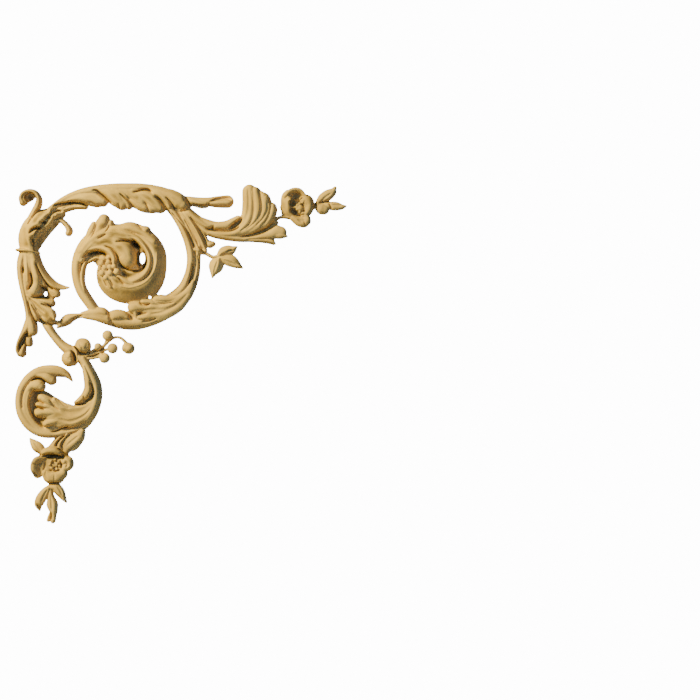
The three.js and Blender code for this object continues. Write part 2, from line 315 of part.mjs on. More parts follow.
// Berries: [x, y, radius, height]
const berries = [
  [107, 335.4, berry, 10.5], [97.4, 346.6, berry * 0.7, 10], [112, 348.4, berry, 11], [104, 358, berry, 11],
  [104, 258.8, grape * 0.95, 18], [108.5, 262.5, grape * 0.95, 20], [101.5, 263.8, grape, 18],
  [105.3, 267.6, grape, 20.5], [110.3, 267.3, grape, 21], [99.6, 269, grape * 0.9, 18],
  [102.4, 273.2, grape * 1.1, 21], [110.3, 273, grape * 1.1, 22.5], [117.2, 271.8, grape * 1.2, 23],
  [106.3, 277.8, grape, 21.5], [114.3, 266.6, grape * 0.9, 21.5], [108.3, 257.8, grape * 0.75, 19],
  [301, 207.8, seed * 1.8, 12.5], [297.4, 205, seed * 0.83, 11], [297.2, 209.2, seed * 0.83, 10.5],
  [54.8, 464.6, seed * 1.5, 9.5], [51.2, 461.6, seed * 0.75, 9.5], [56.4, 469, seed * 0.78, 9.5],
];

// Openings that go through: [x, y, half width, half height]
const openings = [
  [142, 258.3, EYE_WIDTH / 2 / square, EYE_LENGTH / 2 / square],
  [45, 293.8, 1.8, 2.4],
];

const FACET_ERROR = 0.4;
const SAMPLES_A_SPAN = 8;
const MERGE_ERROR = 0.22;
const MERGE_PASSES = 8;
const FINE_STROKE = 3.4;
const POINTED_TIP = 1.4;
const TIP_ANGLES = [42, 78];
const SMALL_TIP_ANGLES = [60];

function inPlace(x, y, height) {
  return [(x - BOSS_ON_DRAWING[0]) * square, -height * rise, (BOSS_ON_DRAWING[1] - y) * square];
}

// A closed three.js geometry becomes a solid that can be joined and cut
function solid(geometry) {
  geometry.deleteAttribute("normal");
  geometry.deleteAttribute("uv");
  const merged = mergeVertices(geometry, 1e-4);
  const corners = merged.index.array;
  const kept = [];
  for (let i = 0; i < corners.length; i += 3) {
    const [a, b, c] = [corners[i], corners[i + 1], corners[i + 2]];
    if (a !== b && b !== c && c !== a) kept.push(a, b, c);
  }
  return new wasm.Manifold(new wasm.Mesh({
    numProp: 3,
    vertProperties: Float32Array.from(merged.attributes.position.array),
    triVerts: Uint32Array.from(kept),
  }));
}

// Keeps the places that a straight run between their neighbours would miss by more than FACET_ERROR
function thinned(places) {
  const [first, last] = [places[0], places[places.length - 1]];
  const run = last.sizes.clone().sub(first.sizes);
  let worst = 0;
  let at = 0;
  places.forEach(({ sizes }, i) => {
    const share = THREE.MathUtils.clamp(sizes.clone().sub(first.sizes).dot(run) / run.lengthSq(), 0, 1);
    const miss = first.sizes.clone().addScaledVector(run, share).sub(sizes).length();
    if (miss > worst) [worst, at] = [miss, i];
  });
  if (worst * square < FACET_ERROR) return [first, last];
  return [...thinned(places.slice(0, at + 1)), ...thinned(places.slice(at)).slice(1)];
}

// Places along a stroke with their direction, half width and height
function stations(rows) {
  const path = new THREE.CatmullRomCurve3(rows.map(([x, y]) => new THREE.Vector3(x, y, 0)),
    false, "catmullrom", 0.5);
  const size = new THREE.CatmullRomCurve3(rows.map(([, , half, top]) => new THREE.Vector3(half, top, 0)),
    false, "catmullrom", 0.5);
  const count = SAMPLES_A_SPAN * (rows.length - 1);
  const samples = [];
  for (let i = 0; i <= count; i++) {
    const { x, y } = path.getPoint(i / count);
    const { x: width, y: top } = size.getPoint(i / count);
    const half = Math.max(width, 0.4);
    const sizes = new THREE.Vector4(x, y, half, top / 2);
    samples.push({ x, y, half, top, sizes, way: path.getTangent(i / count), full: 1 });
  }
  const places = thinned(samples);
  // a bend tighter than the stroke is wide draws its inner side in
  places.forEach((place, i) => {
    const before = places[Math.max(i - 1, 0)];
    const after = places[Math.min(i + 1, places.length - 1)];
    const turn = Math.asin(Math.max(-1, Math.min(1, before.way.x * after.way.y - before.way.y * after.way.x)));
    const run = Math.hypot(after.x - before.x, after.y - before.y);
    const reach = Math.min(1, 0.85 * run / Math.max(Math.abs(turn), 1e-6) / place.half);
    place.left = turn < 0 ? reach : 1;
    place.right = turn > 0 ? reach : 1;
  });
  const end = places[places.length - 1];
  const tipAngles = end.half < POINTED_TIP ? [] : end.half < FINE_STROKE ? SMALL_TIP_ANGLES : TIP_ANGLES;
  for (const angle of tipAngles) {
    const a = THREE.MathUtils.degToRad(angle);
    places.push({ ...end, left: 1, right: 1,
      x: end.x + end.way.x * end.half * Math.sin(a),
      y: end.y + end.way.y * end.half * Math.sin(a),
      half: end.half * Math.cos(a),
      full: Math.cos(a) });
  }
  return places;
}

// A carved stroke: the cross-section carried along the points, closed down to the flat back
function strokeSolid(fullSection, rows) {
  const widest = Math.max(...rows.map(([, , half]) => half));
  const section = widest < FINE_STROKE ? [fullSection[0], 1, fullSection[4]] : fullSection;
  const last = section.length - 1;
  const around = section.length + 2;
  const rings = [];
  const points = [];
  for (const place of stations(rows)) {
    const outline = section.map((share, i) => {
      const edge = i < last / 2 ? section[0] : i > last / 2 ? section[last] : (section[0] + section[last]) / 2;
      return [2 * i / last - 1, (edge + (share - edge) * place.full) * place.top];
    });
    const ring = [[-1, 0], ...outline, [1, 0]].map(([across, height]) =>
      [across * place.half * (across < 0 ? place.left : place.right), height]);
    for (const [off, height] of ring) {
      points.push(...inPlace(place.x - place.way.y * off, place.y + place.way.x * off, height));
    }
    rings.push(ring);
  }
  const faces = [];
  for (let i = 0; i < rings.length - 1; i++) {
    for (let j = 0; j < around; j++) {
      const k = (j + 1) % around;
      const [a, b, c, d] = [i * around + j, i * around + k, (i + 1) * around + k, (i + 1) * around + j];
      faces.push(a, b, c, a, c, d);
    }
  }
  for (const i of [0, rings.length - 1]) {
    const ring = rings[i].map(([off, height]) => new THREE.Vector2(off, height));
    for (const [a, b, c] of THREE.ShapeUtils.triangulateShape(ring, [])) {
      const face = [i * around + a, i * around + b, i * around + c];
      faces.push(...(i > 0 ? face.reverse() : face));
    }
  }
  const geometry = new THREE.BufferGeometry();
  geometry.setAttribute("position", new THREE.Float32BufferAttribute(points, 3));
  geometry.setIndex(faces);
  return solid(geometry);
}

// A berry: a ball on a straight foot that reaches the back
function berrySolid([x, y, radius, top]) {
  const profile = [new THREE.Vector2(0, 0), new THREE.Vector2(radius * square, 0)];
  for (const angle of radius < grape * 1.5 ? [0, 50] : [0, 32, 64]) {
    const a = THREE.MathUtils.degToRad(angle);
    profile.push(new THREE.Vector2(radius * square * Math.cos(a), (top - radius + radius * Math.sin(a)) * rise));
  }
  profile.push(new THREE.Vector2(0, top * rise));
  const geometry = new THREE.LatheGeometry(profile, radius < grape * 1.5 ? 6 : 9);
  geometry.rotateX(Math.PI);
  geometry.translate(...inPlace(x, y, 0));
  return solid(geometry);
}

function openingSolid([x, y, halfWidth, halfHeight]) {
  const geometry = new THREE.CylinderGeometry(1, 1, 4 * RELIEF_HEIGHT, 12);
  geometry.scale(halfWidth * square, 1, halfHeight * square);
  geometry.translate(...inPlace(x, y, 0));
  return solid(geometry);
}

// Merges the small facets that joining leaves: a corner slides along an edge to its neighbour
// where the surface moves by less than MERGE_ERROR, and the mesh stays closed
function mergedFacets(corners, triangles) {
  const at = [];
  for (let i = 0; i < corners.length; i += 3) at.push(new THREE.Vector3().fromArray(corners, i));
  const faces = [];
  const around = at.map(() => new Set());
  for (let i = 0; i < triangles.length; i += 3) {
    const face = [triangles[i], triangles[i + 1], triangles[i + 2]];
    face.forEach((corner) => around[corner].add(faces.length));
    faces.push(face);
  }
  const normalOf = (face) => {
    const [a, b, c] = face.map((corner) => at[corner]);
    return b.clone().sub(a).cross(c.clone().sub(a));
  };
  const planes = at.map(() => []);
  faces.forEach((face) => {
    const normal = normalOf(face);
    if (normal.length() < 1e-9) return;
    normal.normalize();
    face.forEach((corner) => planes[corner].push(new THREE.Plane().setFromNormalAndCoplanarPoint(normal, at[corner])));
  });
  const miss = (corner, place) => Math.max(0, ...planes[corner].map((plane) => Math.abs(plane.distanceToPoint(place))));
  const neighbours = (corner) => new Set([...around[corner]].flatMap((id) => faces[id]).filter((c) => c !== corner));
  const slide = (from, to) => {
    const shared = [...neighbours(from)].filter((corner) => neighbours(to).has(corner));
    if (shared.length !== 2) return false;
    const [gone, kept] = [[], []];
    for (const id of around[from]) (faces[id].includes(to) ? gone : kept).push(id);
    for (const id of kept) {
      const before = normalOf(faces[id]);
      const after = normalOf(faces[id].map((corner) => (corner === from ? to : corner)));
      if (after.length() < 1e-3 || before.dot(after) < 0.3 * before.length() * after.length()) return false;
    }
    for (const id of gone) faces[id].forEach((corner) => around[corner].delete(id));
    for (const id of kept) {
      faces[id] = faces[id].map((corner) => (corner === from ? to : corner));
      around[to].add(id);
    }
    gone.forEach((id) => { faces[id] = null; });
    planes[to].push(...planes[from]);
    around[from].clear();
    return true;
  };
  for (let pass = 0; pass < MERGE_PASSES; pass++) {
    const slides = [];
    for (let from = 0; from < at.length; from++) {
      for (const to of neighbours(from)) {
        const error = miss(from, at[to]);
        if (error < MERGE_ERROR * (pass + 1) / MERGE_PASSES) slides.push([error, from, to]);
      }
    }
    slides.sort((a, b) => a[0] - b[0] || a[1] - b[1] || a[2] - b[2]);
    const touched = new Set();
    for (const [, from, to] of slides) {
      if (touched.has(from) || touched.has(to) || around[from].size === 0 || around[to].size === 0) continue;
      const near = neighbours(from);
      if (slide(from, to)) near.forEach((corner) => touched.add(corner));
    }
  }
  const left = faces.filter((face) => face);
  const used = [...new Set(left.flat())].sort((a, b) => a - b);
  const place = new Map(used.map((corner, i) => [corner, i]));
  return [used.flatMap((corner) => at[corner].toArray()), left.flat().map((corner) => place.get(corner))];
}

let casting = null;
for (const [, section, ...rows] of strokes) {
  const piece = strokeSolid(section, rows);
  casting = casting ? casting.add(piece) : piece;
}
for (const each of berries) casting = casting.add(berrySolid(each));
for (const each of openings) casting = casting.subtract(openingSolid(each));

const joined = casting.getMesh();
const [corners, triangles] = mergedFacets(joined.vertProperties, joined.triVerts);
const geometry = new THREE.BufferGeometry();
geometry.setAttribute("position", new THREE.Float32BufferAttribute(corners, 3));
geometry.setIndex(triangles);
geometry.computeVertexNormals();

const composition = new THREE.MeshStandardMaterial({ color: 0xd2aa6c, roughness: 0.62, metalness: 0 });
const spandrelCasting = new THREE.Mesh(geometry, composition);
spandrelCasting.name = "spandrel_casting";
const spandrel = new THREE.Group();
spandrel.add(spandrelCasting);

export default spandrel;
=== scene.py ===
# %% [markdown]
# This lesson dresses one corner applique: a flat-backed ornament of scrolls, leaves and flowers,
# cast in one piece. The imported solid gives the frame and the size, so it is loaded first and its
# box is kept, because the finished carving has to stay inside it.

# %% Load the frame
import math
import bpy
import numpy as np
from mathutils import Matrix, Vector


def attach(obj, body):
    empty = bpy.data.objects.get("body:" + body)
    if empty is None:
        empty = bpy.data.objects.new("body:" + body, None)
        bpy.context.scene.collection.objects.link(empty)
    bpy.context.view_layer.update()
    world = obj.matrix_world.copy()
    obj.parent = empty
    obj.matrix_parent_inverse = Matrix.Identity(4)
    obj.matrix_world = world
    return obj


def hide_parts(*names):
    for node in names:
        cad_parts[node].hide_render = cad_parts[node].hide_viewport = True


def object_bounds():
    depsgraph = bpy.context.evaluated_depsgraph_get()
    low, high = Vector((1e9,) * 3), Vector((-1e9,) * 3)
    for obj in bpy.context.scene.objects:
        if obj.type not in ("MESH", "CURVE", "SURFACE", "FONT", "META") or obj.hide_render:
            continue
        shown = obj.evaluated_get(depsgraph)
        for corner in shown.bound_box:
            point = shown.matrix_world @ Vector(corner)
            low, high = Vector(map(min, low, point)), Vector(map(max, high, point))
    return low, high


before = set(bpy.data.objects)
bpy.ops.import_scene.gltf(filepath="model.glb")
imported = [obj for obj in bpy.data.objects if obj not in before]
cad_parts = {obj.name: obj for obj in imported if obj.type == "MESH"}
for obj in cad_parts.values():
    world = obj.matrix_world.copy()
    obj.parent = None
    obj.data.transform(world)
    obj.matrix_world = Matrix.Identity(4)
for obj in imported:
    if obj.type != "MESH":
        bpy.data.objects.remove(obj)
cad_box = [list(corner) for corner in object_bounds()]
print("solid's box in mm", [[round(v * 1000, 1) for v in corner] for corner in cad_box])

# %% [markdown]
# The ornament was laid out on a drawing of squares, 330 of them across its width, with x to the
# right and y down, and the centre of the round boss at (130.5, 268). One square is 300 / 330 mm.
# Heights on the drawing are counted in squares too, and 25.2 of them make the full relief. All
# shapes below are given on that drawing, and one function brings them to metres in the frame.

# %% The drawing and its scale
SPANDREL_WIDTH = 0.300
RELIEF_HEIGHT = 0.0228
RELIEF_SQUARES = 25.2
SQUARE = SPANDREL_WIDTH / 330
RISE = RELIEF_HEIGHT / RELIEF_SQUARES
BOSS_X, BOSS_Y = 130.5, 268.0


def in_place(x, y, height):
    return np.stack([(x - BOSS_X) * SQUARE, -height * RISE, (BOSS_Y - y) * SQUARE], -1)


print("one square is", round(SQUARE * 1000, 3), "mm")

# %% [markdown]
# The camera comes early, so that every trial render is framed alike. The photograph looks at the
# ornament straight on, so the camera stands square to the back. A long lens keeps the sides of
# the carving as thin as the photograph shows them. Its frame is 700 squares wide.

# %% Camera
FRAME_SQUARES = 700
LENS = 200.0
SENSOR = 36.0
frame_width = FRAME_SQUARES * SQUARE
distance = frame_width * LENS / SENSOR
centre_x, _, centre_z = in_place(np.float64(350), np.float64(350), np.float64(0))
bpy.ops.object.camera_add(location=(centre_x, -distance - RELIEF_HEIGHT / 2, centre_z),
                          rotation=(math.pi / 2, 0, 0))
camera = bpy.context.object
camera.name = "camera"
camera.data.lens = LENS
camera.data.sensor_width = SENSOR
camera.data.clip_end = 50
bpy.context.scene.camera = camera
print("camera stands", round(distance, 2), "m away")

# %% [markdown]
# The light is a plain studio: one warm lamp on the left and a little above, because the
# photograph's highlights sit on the upper left of every form and its right sides are dark, and a
# weak cool lamp in front, so that the shadows stay brown and don't turn orange. A third lamp
# stands behind, for views of the flat back.

# %% Lamps
AIM = Vector((0.02, 0, -0.06))
COOL = (0.62, 0.95, 1.6)


def lamp(name, place, power, size, colour=(1, 1, 1)):
    bpy.ops.object.light_add(type="AREA", location=place)
    light = bpy.context.object
    light.name = name
    light.data.energy = power
    light.data.size = size
    light.data.color = colour
    way = AIM - Vector(place)
    light.rotation_euler = way.to_track_quat("-Z", "Y").to_euler()


lamp("key_lamp", (-1.45, -1.1, 1.0), 152, 0.5, (1.0, 0.82, 0.25))
lamp("fill_lamp", (0.4, -2.4, 0.2), 19, 1.4, COOL)
lamp("back_lamp", (0.3, 1.6, 0.7), 16, 1.2)
print("lamps", len(bpy.data.lights))

# %% [markdown]
# The surroundings are white to the camera and dim to the object. Only a world can do both at
# once, by asking whether a ray comes straight from the camera.

# %% Surroundings
WHITE_TO_CAMERA = 14.0
DIM_TO_OBJECT = 0.03
world = bpy.data.worlds.new("white_room")
bpy.context.scene.world = world
world.use_nodes = True
room = world.node_tree
room.nodes.clear()
ray = room.nodes.new("ShaderNodeLightPath")
seen = room.nodes.new("ShaderNodeBackground")
seen.inputs["Color"].default_value = (1, 1, 1, 1)
seen.inputs["Strength"].default_value = WHITE_TO_CAMERA
dim = room.nodes.new("ShaderNodeBackground")
dim.inputs["Color"].default_value = (*COOL, 1)
dim.inputs["Strength"].default_value = DIM_TO_OBJECT
either = room.nodes.new("ShaderNodeMixShader")
out = room.nodes.new("ShaderNodeOutputWorld")
room.links.new(ray.outputs["Is Camera Ray"], either.inputs["Fac"])
room.links.new(dim.outputs[0], either.inputs[1])
room.links.new(seen.outputs[0], either.inputs[2])
room.links.new(either.outputs[0], out.inputs["Surface"])
print("surroundings of", len(room.nodes), "nodes")

# %% [markdown]
# A plain pale floor lies well below the ornament, as it hangs.

# %% Floor
FLOOR_DROP = 0.8
bpy.ops.mesh.primitive_plane_add(size=1, location=(0.05, -0.1, cad_box[0][2] - FLOOR_DROP))
floor = bpy.context.object
floor.name = "floor"
floor.scale = (1.3, 1.0, 1)
bpy.ops.object.transform_apply(location=True, rotation=True, scale=True)
pale = bpy.data.materials.new("pale_floor")
pale.use_nodes = True
pale.node_tree.nodes["Principled BSDF"].inputs["Base Color"].default_value = (0.86, 0.86, 0.85, 1)
pale.node_tree.nodes["Principled BSDF"].inputs["Roughness"].default_value = 0.8
floor.data.materials.append(pale)
print("floor", round(FLOOR_DROP, 2), "m below the ornament")

# %% [markdown]
# A carver shapes such an ornament stroke by stroke: a stem, a fold or a leaf finger is one sweep
# of the gouge with its own width, height and cross-section. It could be sculpted, but then each
# form would need its own hand work. Here each stroke is a flat grid that is laid along a few
# chosen points, and the cross-section is given as five heights from left to right. Later all
# grids are extruded down to the flat back at once. First come the cross-sections, and the smooth
# curve that runs through a row of chosen points.

# %% Cross-sections and a smooth curve
SECTIONS = {
    "round": [0.3, 0.84, 1, 0.84, 0.3], "crown": [0.6, 0.92, 1, 0.92, 0.6],
    "flat": [0.8, 1, 1, 1, 0.8], "roll": [0.5, 0.93, 1, 0.9, 0.45],
    "keel": [0.45, 0.76, 1, 0.76, 0.45],
    "fallright": [0.95, 1, 0.84, 0.62, 0.35], "fallleft": [0.35, 0.62, 0.84, 1, 0.95],
}


def along_curve(points, steps):
    """A smooth curve through rows of numbers, with so many steps between two rows."""
    rows = np.array(points, float)
    rows = np.vstack([2 * rows[0] - rows[1], rows, 2 * rows[-1] - rows[-2]])
    curve = []
    for a, b, c, d in zip(rows, rows[1:], rows[2:], rows[3:]):
        t = np.linspace(0, 1, steps, endpoint=False)[:, None]
        curve.append(0.5 * (2 * b + (c - a) * t + (2 * a - 5 * b + 4 * c - d) * t ** 2
                            + (3 * b - a - 3 * c + d) * t ** 3))
    return np.vstack(curve + [rows[-2:-1]])


print(len(SECTIONS), "cross-sections")

# %% [markdown]
# Every stroke ends round, as a gouge leaves it. The last row is carried on by a few more rows
# along a quarter circle, which get narrower. The starting end also sinks a little, so that it
# slips under what it grows from.

# %% The ends of a stroke
TIP_STEPS = 8
LAST_ANGLE = math.pi / 2 * 0.97
START_SINK = 0.25


def tip(end, way, reach, back=False):
    """The round tip after the last row, or before the first one."""
    angles = np.linspace(0, LAST_ANGLE, TIP_STEPS + 1)[1:, None]
    radius = end[2]
    sign = -1 if back else 1
    place = end[:2] + sign * way * radius * reach * np.sin(angles)
    sink = START_SINK if back else 0
    top = end[3] * (1 - sink + sink * np.cos(angles))
    rows = np.hstack([place, radius * np.cos(angles), top])
    full = np.cos(angles)[:, 0]
    return (rows[::-1], full[::-1]) if back else (rows, full)


print("rows in each round end", TIP_STEPS)

# %% [markdown]
# The stroke itself is laid out here. Where it turns more sharply than it is wide, its inner edge
# would fold over itself, so that side is drawn in. Each grid is kept until all are there.

# %% A stroke of carving
STEP = 1.1
THINNEST = 0.15
WIDE_STROKE = 3.2
STEPS_IF_WIDE, STEPS_IF_NARROW = 14, 10
INNER_SHARE = 0.9
START_REACH, END_REACH = 0.8, 1.0
strips = []


def stroke(section, *points):
    """Lays one grid along points of (x, y, half width, height) and keeps it in the list."""
    heights = SECTIONS[section]
    lengths = np.linalg.norm(np.diff(np.array(points, float)[:, :2], axis=0), axis=1)
    rows = along_curve(points, max(3, int(lengths.mean() / STEP)))
    rows[:, 2] = np.maximum(rows[:, 2], THINNEST)
    ways = np.gradient(rows[:, :2], axis=0)
    ways /= np.linalg.norm(ways, axis=1)[:, None]
    turn = np.gradient(np.unwrap(np.arctan2(ways[:, 1], ways[:, 0])))
    run = np.linalg.norm(np.gradient(rows[:, :2], axis=0), axis=1)
    tight = np.minimum(1, INNER_SHARE * run / np.maximum(np.abs(turn), 1e-6) / rows[:, 2])
    first, first_full = tip(rows[0], ways[0], START_REACH, back=True)
    last, last_full = tip(rows[-1], ways[-1], END_REACH)
    ways = np.vstack([ways[:1].repeat(TIP_STEPS, 0), ways, ways[-1:].repeat(TIP_STEPS, 0)])
    left = np.pad(np.where(turn < 0, tight, 1), TIP_STEPS, constant_values=1)
    right = np.pad(np.where(turn > 0, tight, 1), TIP_STEPS, constant_values=1)
    full = np.concatenate([first_full, np.ones(len(rows)), last_full])
    rows = np.vstack([first, rows, last])
    across_steps = STEPS_IF_WIDE if rows[:, 2].max() > WIDE_STROKE else STEPS_IF_NARROW
    across = np.linspace(-1, 1, across_steps + 1)
    shares = along_curve(np.array(heights)[:, None], 16)[:, 0]
    shares = np.interp(across, np.linspace(-1, 1, len(shares)), shares)
    edges = np.where(across < 0, heights[0], heights[-1])
    edges[across_steps // 2] = (heights[0] + heights[-1]) / 2
    share = edges + (shares - edges) * full[:, None]
    off = across * rows[:, 2:3] * np.where(across < 0, left[:, None], right[:, None])
    x = rows[:, 0:1] - ways[:, 1:2] * off
    y = rows[:, 1:2] + ways[:, 0:1] * off
    strips.append(in_place(x, y, share * rows[:, 3:4]))


print("steps across a stroke", STEPS_IF_NARROW, "or", STEPS_IF_WIDE)

# %% [markdown]
# Grooves are the gouge's last cuts. They are only noted down for now, beside the strokes they
# belong to, and are cut once the skin is whole.

# %% A groove
grooves = []


def groove(depth, *points):
    """Keeps a groove of (x, y, half width) points. A depth below zero makes it a rib."""
    grooves.append((depth, points))


def tally(place):
    print(place, "- strokes so far", len(strips), "and grooves", len(grooves))


tally("empty ground")

# %% [markdown]
# A collar ties the corner. A leafy cup rises out of it and ends in a curled finial, and a small
# hook hangs from its side. The cup's folds lie beside one another, each higher than the last.

# %% The corner
stroke("round", (15.5, 249.6, 1.2, 13), (19, 249.8, 2, 15.5), (26, 250.2, 2.5, 17.5),
        (33, 251.5, 2.3, 15.5), (38, 253, 1.5, 12))
stroke("round", (26, 251, 5, 12), (23.5, 238, 4.7, 13), (27, 225, 4.5, 12.5),
        (32.5, 214, 3.8, 12.5), (37.6, 204.5, 3.9, 13), (38.2, 197.5, 3, 13.5),
        (34.5, 192.3, 2.6, 14), (28.5, 190.8, 2.4, 14), (22.9, 193, 2.5, 14),
        (20.6, 197.4, 2.8, 14), (22.4, 202, 3.9, 14))
stroke("crown", (27, 193.4, 1, 11), (23.8, 195, 1.5, 12.5), (23.4, 198.6, 1.6, 12.5),
        (25.4, 202, 2, 12))
stroke("flat", (34, 194, 3, 5.5), (29, 196.6, 4.6, 5.5), (25, 200, 3.4, 5.5))
stroke("fallleft", (26.4, 251, 7, 15.5), (25, 238, 7.6, 17.5), (29, 227, 8, 19.5),
        (36, 219, 7.6, 20), (42.6, 214, 5.4, 18.5), (47, 211.4, 3.6, 16.5))
stroke("fallright", (33, 250, 4.5, 9.5), (37, 240, 6.4, 11), (43.5, 230, 7, 12),
        (51, 221.6, 7, 12), (57.5, 216.4, 5.4, 11.5), (61, 214, 4, 11))
stroke("crown", (32.5, 244, 2.6, 12.5), (34.6, 238, 3.2, 14), (38, 232.6, 3, 14))
stroke("fallleft", (38.5, 229.6, 2.6, 13), (43, 225.4, 3.6, 14.5), (48, 219.6, 4, 15),
        (51.5, 214, 3.4, 14.5))
stroke("round", (56, 218, 2.6, 9.5), (61.6, 220.9, 2.5, 10), (66.4, 225.4, 2.9, 11),
        (68.9, 230.4, 3.6, 12), (68, 232.8, 3.5, 11))
groove(13, (29.2, 233.6, 0.9), (32, 230.3, 2), (35.6, 228.4, 2.2), (40, 227.6, 1.1))
groove(7, (40, 223.4, 0.8), (43, 222.4, 1.5), (46.6, 223, 1))
groove(6, (45.5, 218.6, 0.7), (48, 217.6, 1.3), (51, 218.2, 1))
groove(6, (36.4, 212, 0.8), (39.6, 210.6, 1.3), (44, 209.6, 1.4), (48.4, 209.4, 0.8))
groove(3, (27, 225, 0.7), (30.6, 219.6, 1.3), (34.4, 214.4, 1.3), (38, 209.6, 0.8))
groove(3, (24, 216.5, 0.7), (28, 216.6, 1.4), (30.4, 218.8, 0.9))
groove(5, (33.4, 247, 0.9), (32.6, 241.6, 1.5), (31.6, 236.6, 1))
groove(2.6, (43, 237.6, 1), (47, 231.6, 1.8), (51, 225.6, 1.2))
groove(4, (53, 219.8, 0.8), (57.6, 218.6, 1.2), (60.6, 217, 0.8))
tally("corner")

# %% [markdown]
# The arch leaves the cup and carries one long leaf. Its back is a smooth roll, and its fingers
# hang over the lower edge in pairs, each a short stroke that starts under the roll.

# %% The arch
stroke("round", (46, 217, 4, 9), (55, 211.4, 4.6, 10.5), (66, 207.9, 4, 11.5),
        (76, 205.9, 3.3, 12), (84.6, 206.3, 3.1, 12))
stroke("crown", (47, 211.5, 3, 13), (54, 205.5, 2.8, 13.5), (62, 200.6, 3.6, 14),
        (72, 195.9, 4.2, 14.5), (84, 192, 4.6, 15), (96, 189.8, 4.8, 15), (110, 188.2, 4.8, 15),
        (128, 187.5, 4.8, 15), (145, 188.5, 5, 14.5), (160, 191.6, 5.5, 14), (172, 196, 6, 13.5),
        (181, 200.5, 6, 12.5), (187, 203.5, 5, 11.5))
stroke("roll", (56.4, 204.8, 2, 13.5), (68, 199.2, 4.4, 15), (80, 197, 6.6, 16),
        (90, 197.8, 8, 16.5), (97, 200, 7.4, 16), (102.6, 201.4, 5.2, 15))
stroke("roll", (99.4, 191, 3.4, 15), (109, 193, 8, 16.5), (117, 198.6, 8.6, 16.5),
        (121.6, 202.6, 7.4, 15.5))
stroke("roll", (112, 190, 6, 15.5), (122, 195, 6, 16.5), (127, 202, 4.6, 15.5),
        (128.4, 205.6, 3.8, 14.5))
stroke("roll", (120, 190, 5, 15), (133, 194.5, 7.6, 16), (139.6, 200.6, 7.6, 16),
        (141.6, 204.6, 6.6, 15))
stroke("roll", (132, 191, 5.6, 15.5), (146, 196.5, 8.6, 17), (154.6, 203, 8.8, 16.5),
        (159.6, 206.4, 6.8, 15.5))
stroke("crown", (126, 200, 4, 14), (135, 203, 5, 14.6), (143, 205.6, 6.4, 14.8),
        (151, 206.6, 6.6, 14.8), (157, 207, 5.6, 14.5))
stroke("roll", (148, 190, 4.6, 14.5), (159.5, 194, 5.4, 16), (166.5, 200.6, 4.4, 15.5),
        (169, 206.6, 2.8, 13.5))
stroke("roll", (156, 191.5, 5, 15), (169, 196, 7.6, 16.5), (178, 200.8, 8.2, 16.5),
        (182, 203.8, 6.8, 15.5))
stroke("flat", (170, 204, 3, 7), (177, 209.5, 4.5, 7), (184, 213, 4, 7))
groove(8, (52.6, 206.4, 1.1), (56, 204.8, 1.8), (61, 203.6, 1.3), (70, 202.5, 1.1),
        (80, 203.6, 1.1),
        (88, 206.6, 1))
groove(6, (52, 214, 0.8), (57, 210.6, 1.4), (62, 211.6, 1.2))
groove(2, (62, 208.6, 0.8), (70, 205.9, 1.4), (79, 206, 1))
groove(7.5, (92.4, 190.2, 0.8), (96.6, 190.6, 1.4), (102.6, 195, 1.2), (107, 199, 1.5),
        (111.8, 203.4, 1.3))
groove(2.6, (87.4, 201.6, 0.9), (92.6, 203.2, 1.6), (97, 206.6, 1))
groove(1.2, (62, 201, 1.4), (76, 195.6, 2.4), (90, 194.6, 2.6), (100, 198.6, 1.6))
groove(5.5, (119.6, 193.4, 0.6), (123.4, 196.6, 1), (127.6, 200, 1.2), (131.4, 204.4, 1.5),
        (134.8, 209, 1.3))
groove(3.4, (118.2, 203.4, 0.6), (119.2, 206.6, 1), (118.8, 210, 1))
groove(8, (133, 192.4, 0.6), (138, 191.2, 1), (143, 189.8, 1.6), (148, 189.9, 1.9),
        (152.4, 192.6, 1.1))
groove(3.6, (144.6, 202, 0.6), (147, 206, 1.1), (148.8, 213, 1.3))
groove(8, (154.6, 196.4, 0.8), (159.2, 199.2, 1.7), (163, 204.2, 1.9), (165.6, 209, 1.7),
        (169, 213.6, 1.2))
groove(4.6, (165.6, 197, 0.6), (169.6, 200.6, 1), (172.2, 204.4, 1.4), (174.6, 209.6, 1.2))
groove(8, (183, 193.8, 1), (185.6, 197.6, 1.5), (188.6, 202.4, 1.5), (191.8, 208, 1.2))
groove(4, (189, 208.6, 1), (184, 210.6, 1.5), (178, 211.4, 0.9))
tally("arch")

# %% [markdown]
# Where the arch ends, two split pods and a large fluted leaf spring from it.

# %% Pods and the large leaf
stroke("round", (184, 199.5, 4, 10.5), (194, 201.6, 4.6, 12), (201, 203.6, 4.6, 12.5),
        (205, 204.3, 3.7, 12))
stroke("round", (184, 198, 2.6, 9), (196, 199.6, 3, 9.5), (207, 201.3, 4.4, 10),
        (217, 201.5, 5.9, 10.5), (227, 201.2, 6.6, 10.5))
stroke("round", (182, 207, 5, 11), (190, 214, 5, 12.5), (198, 220.3, 5, 12.5),
        (206, 225.3, 4.2, 12), (209.6, 226.9, 2.9, 11.5))
stroke("crown", (194, 217, 3, 10), (206, 222.5, 4, 11), (216, 225.3, 4.1, 12),
        (226, 225.1, 4.8, 12.5), (233.5, 222.8, 5.6, 13), (238, 220.6, 5.4, 13))
stroke("flat", (202, 222, 3, 6), (208, 228, 3.5, 6), (216, 231, 3, 6))
groove(8, (209.6, 201.4, 0.8), (215, 199.4, 2), (221, 198.4, 2.5), (227, 198.2, 2.5),
        (231.6, 199.6, 1.4))
groove(6, (192, 203.6, 0.7), (199, 205.4, 1.6), (206, 205.6, 2.2), (209.6, 203.2, 1.2))
groove(7, (208, 229.6, 0.9), (211.6, 228, 1.4), (213.6, 225.4, 1))
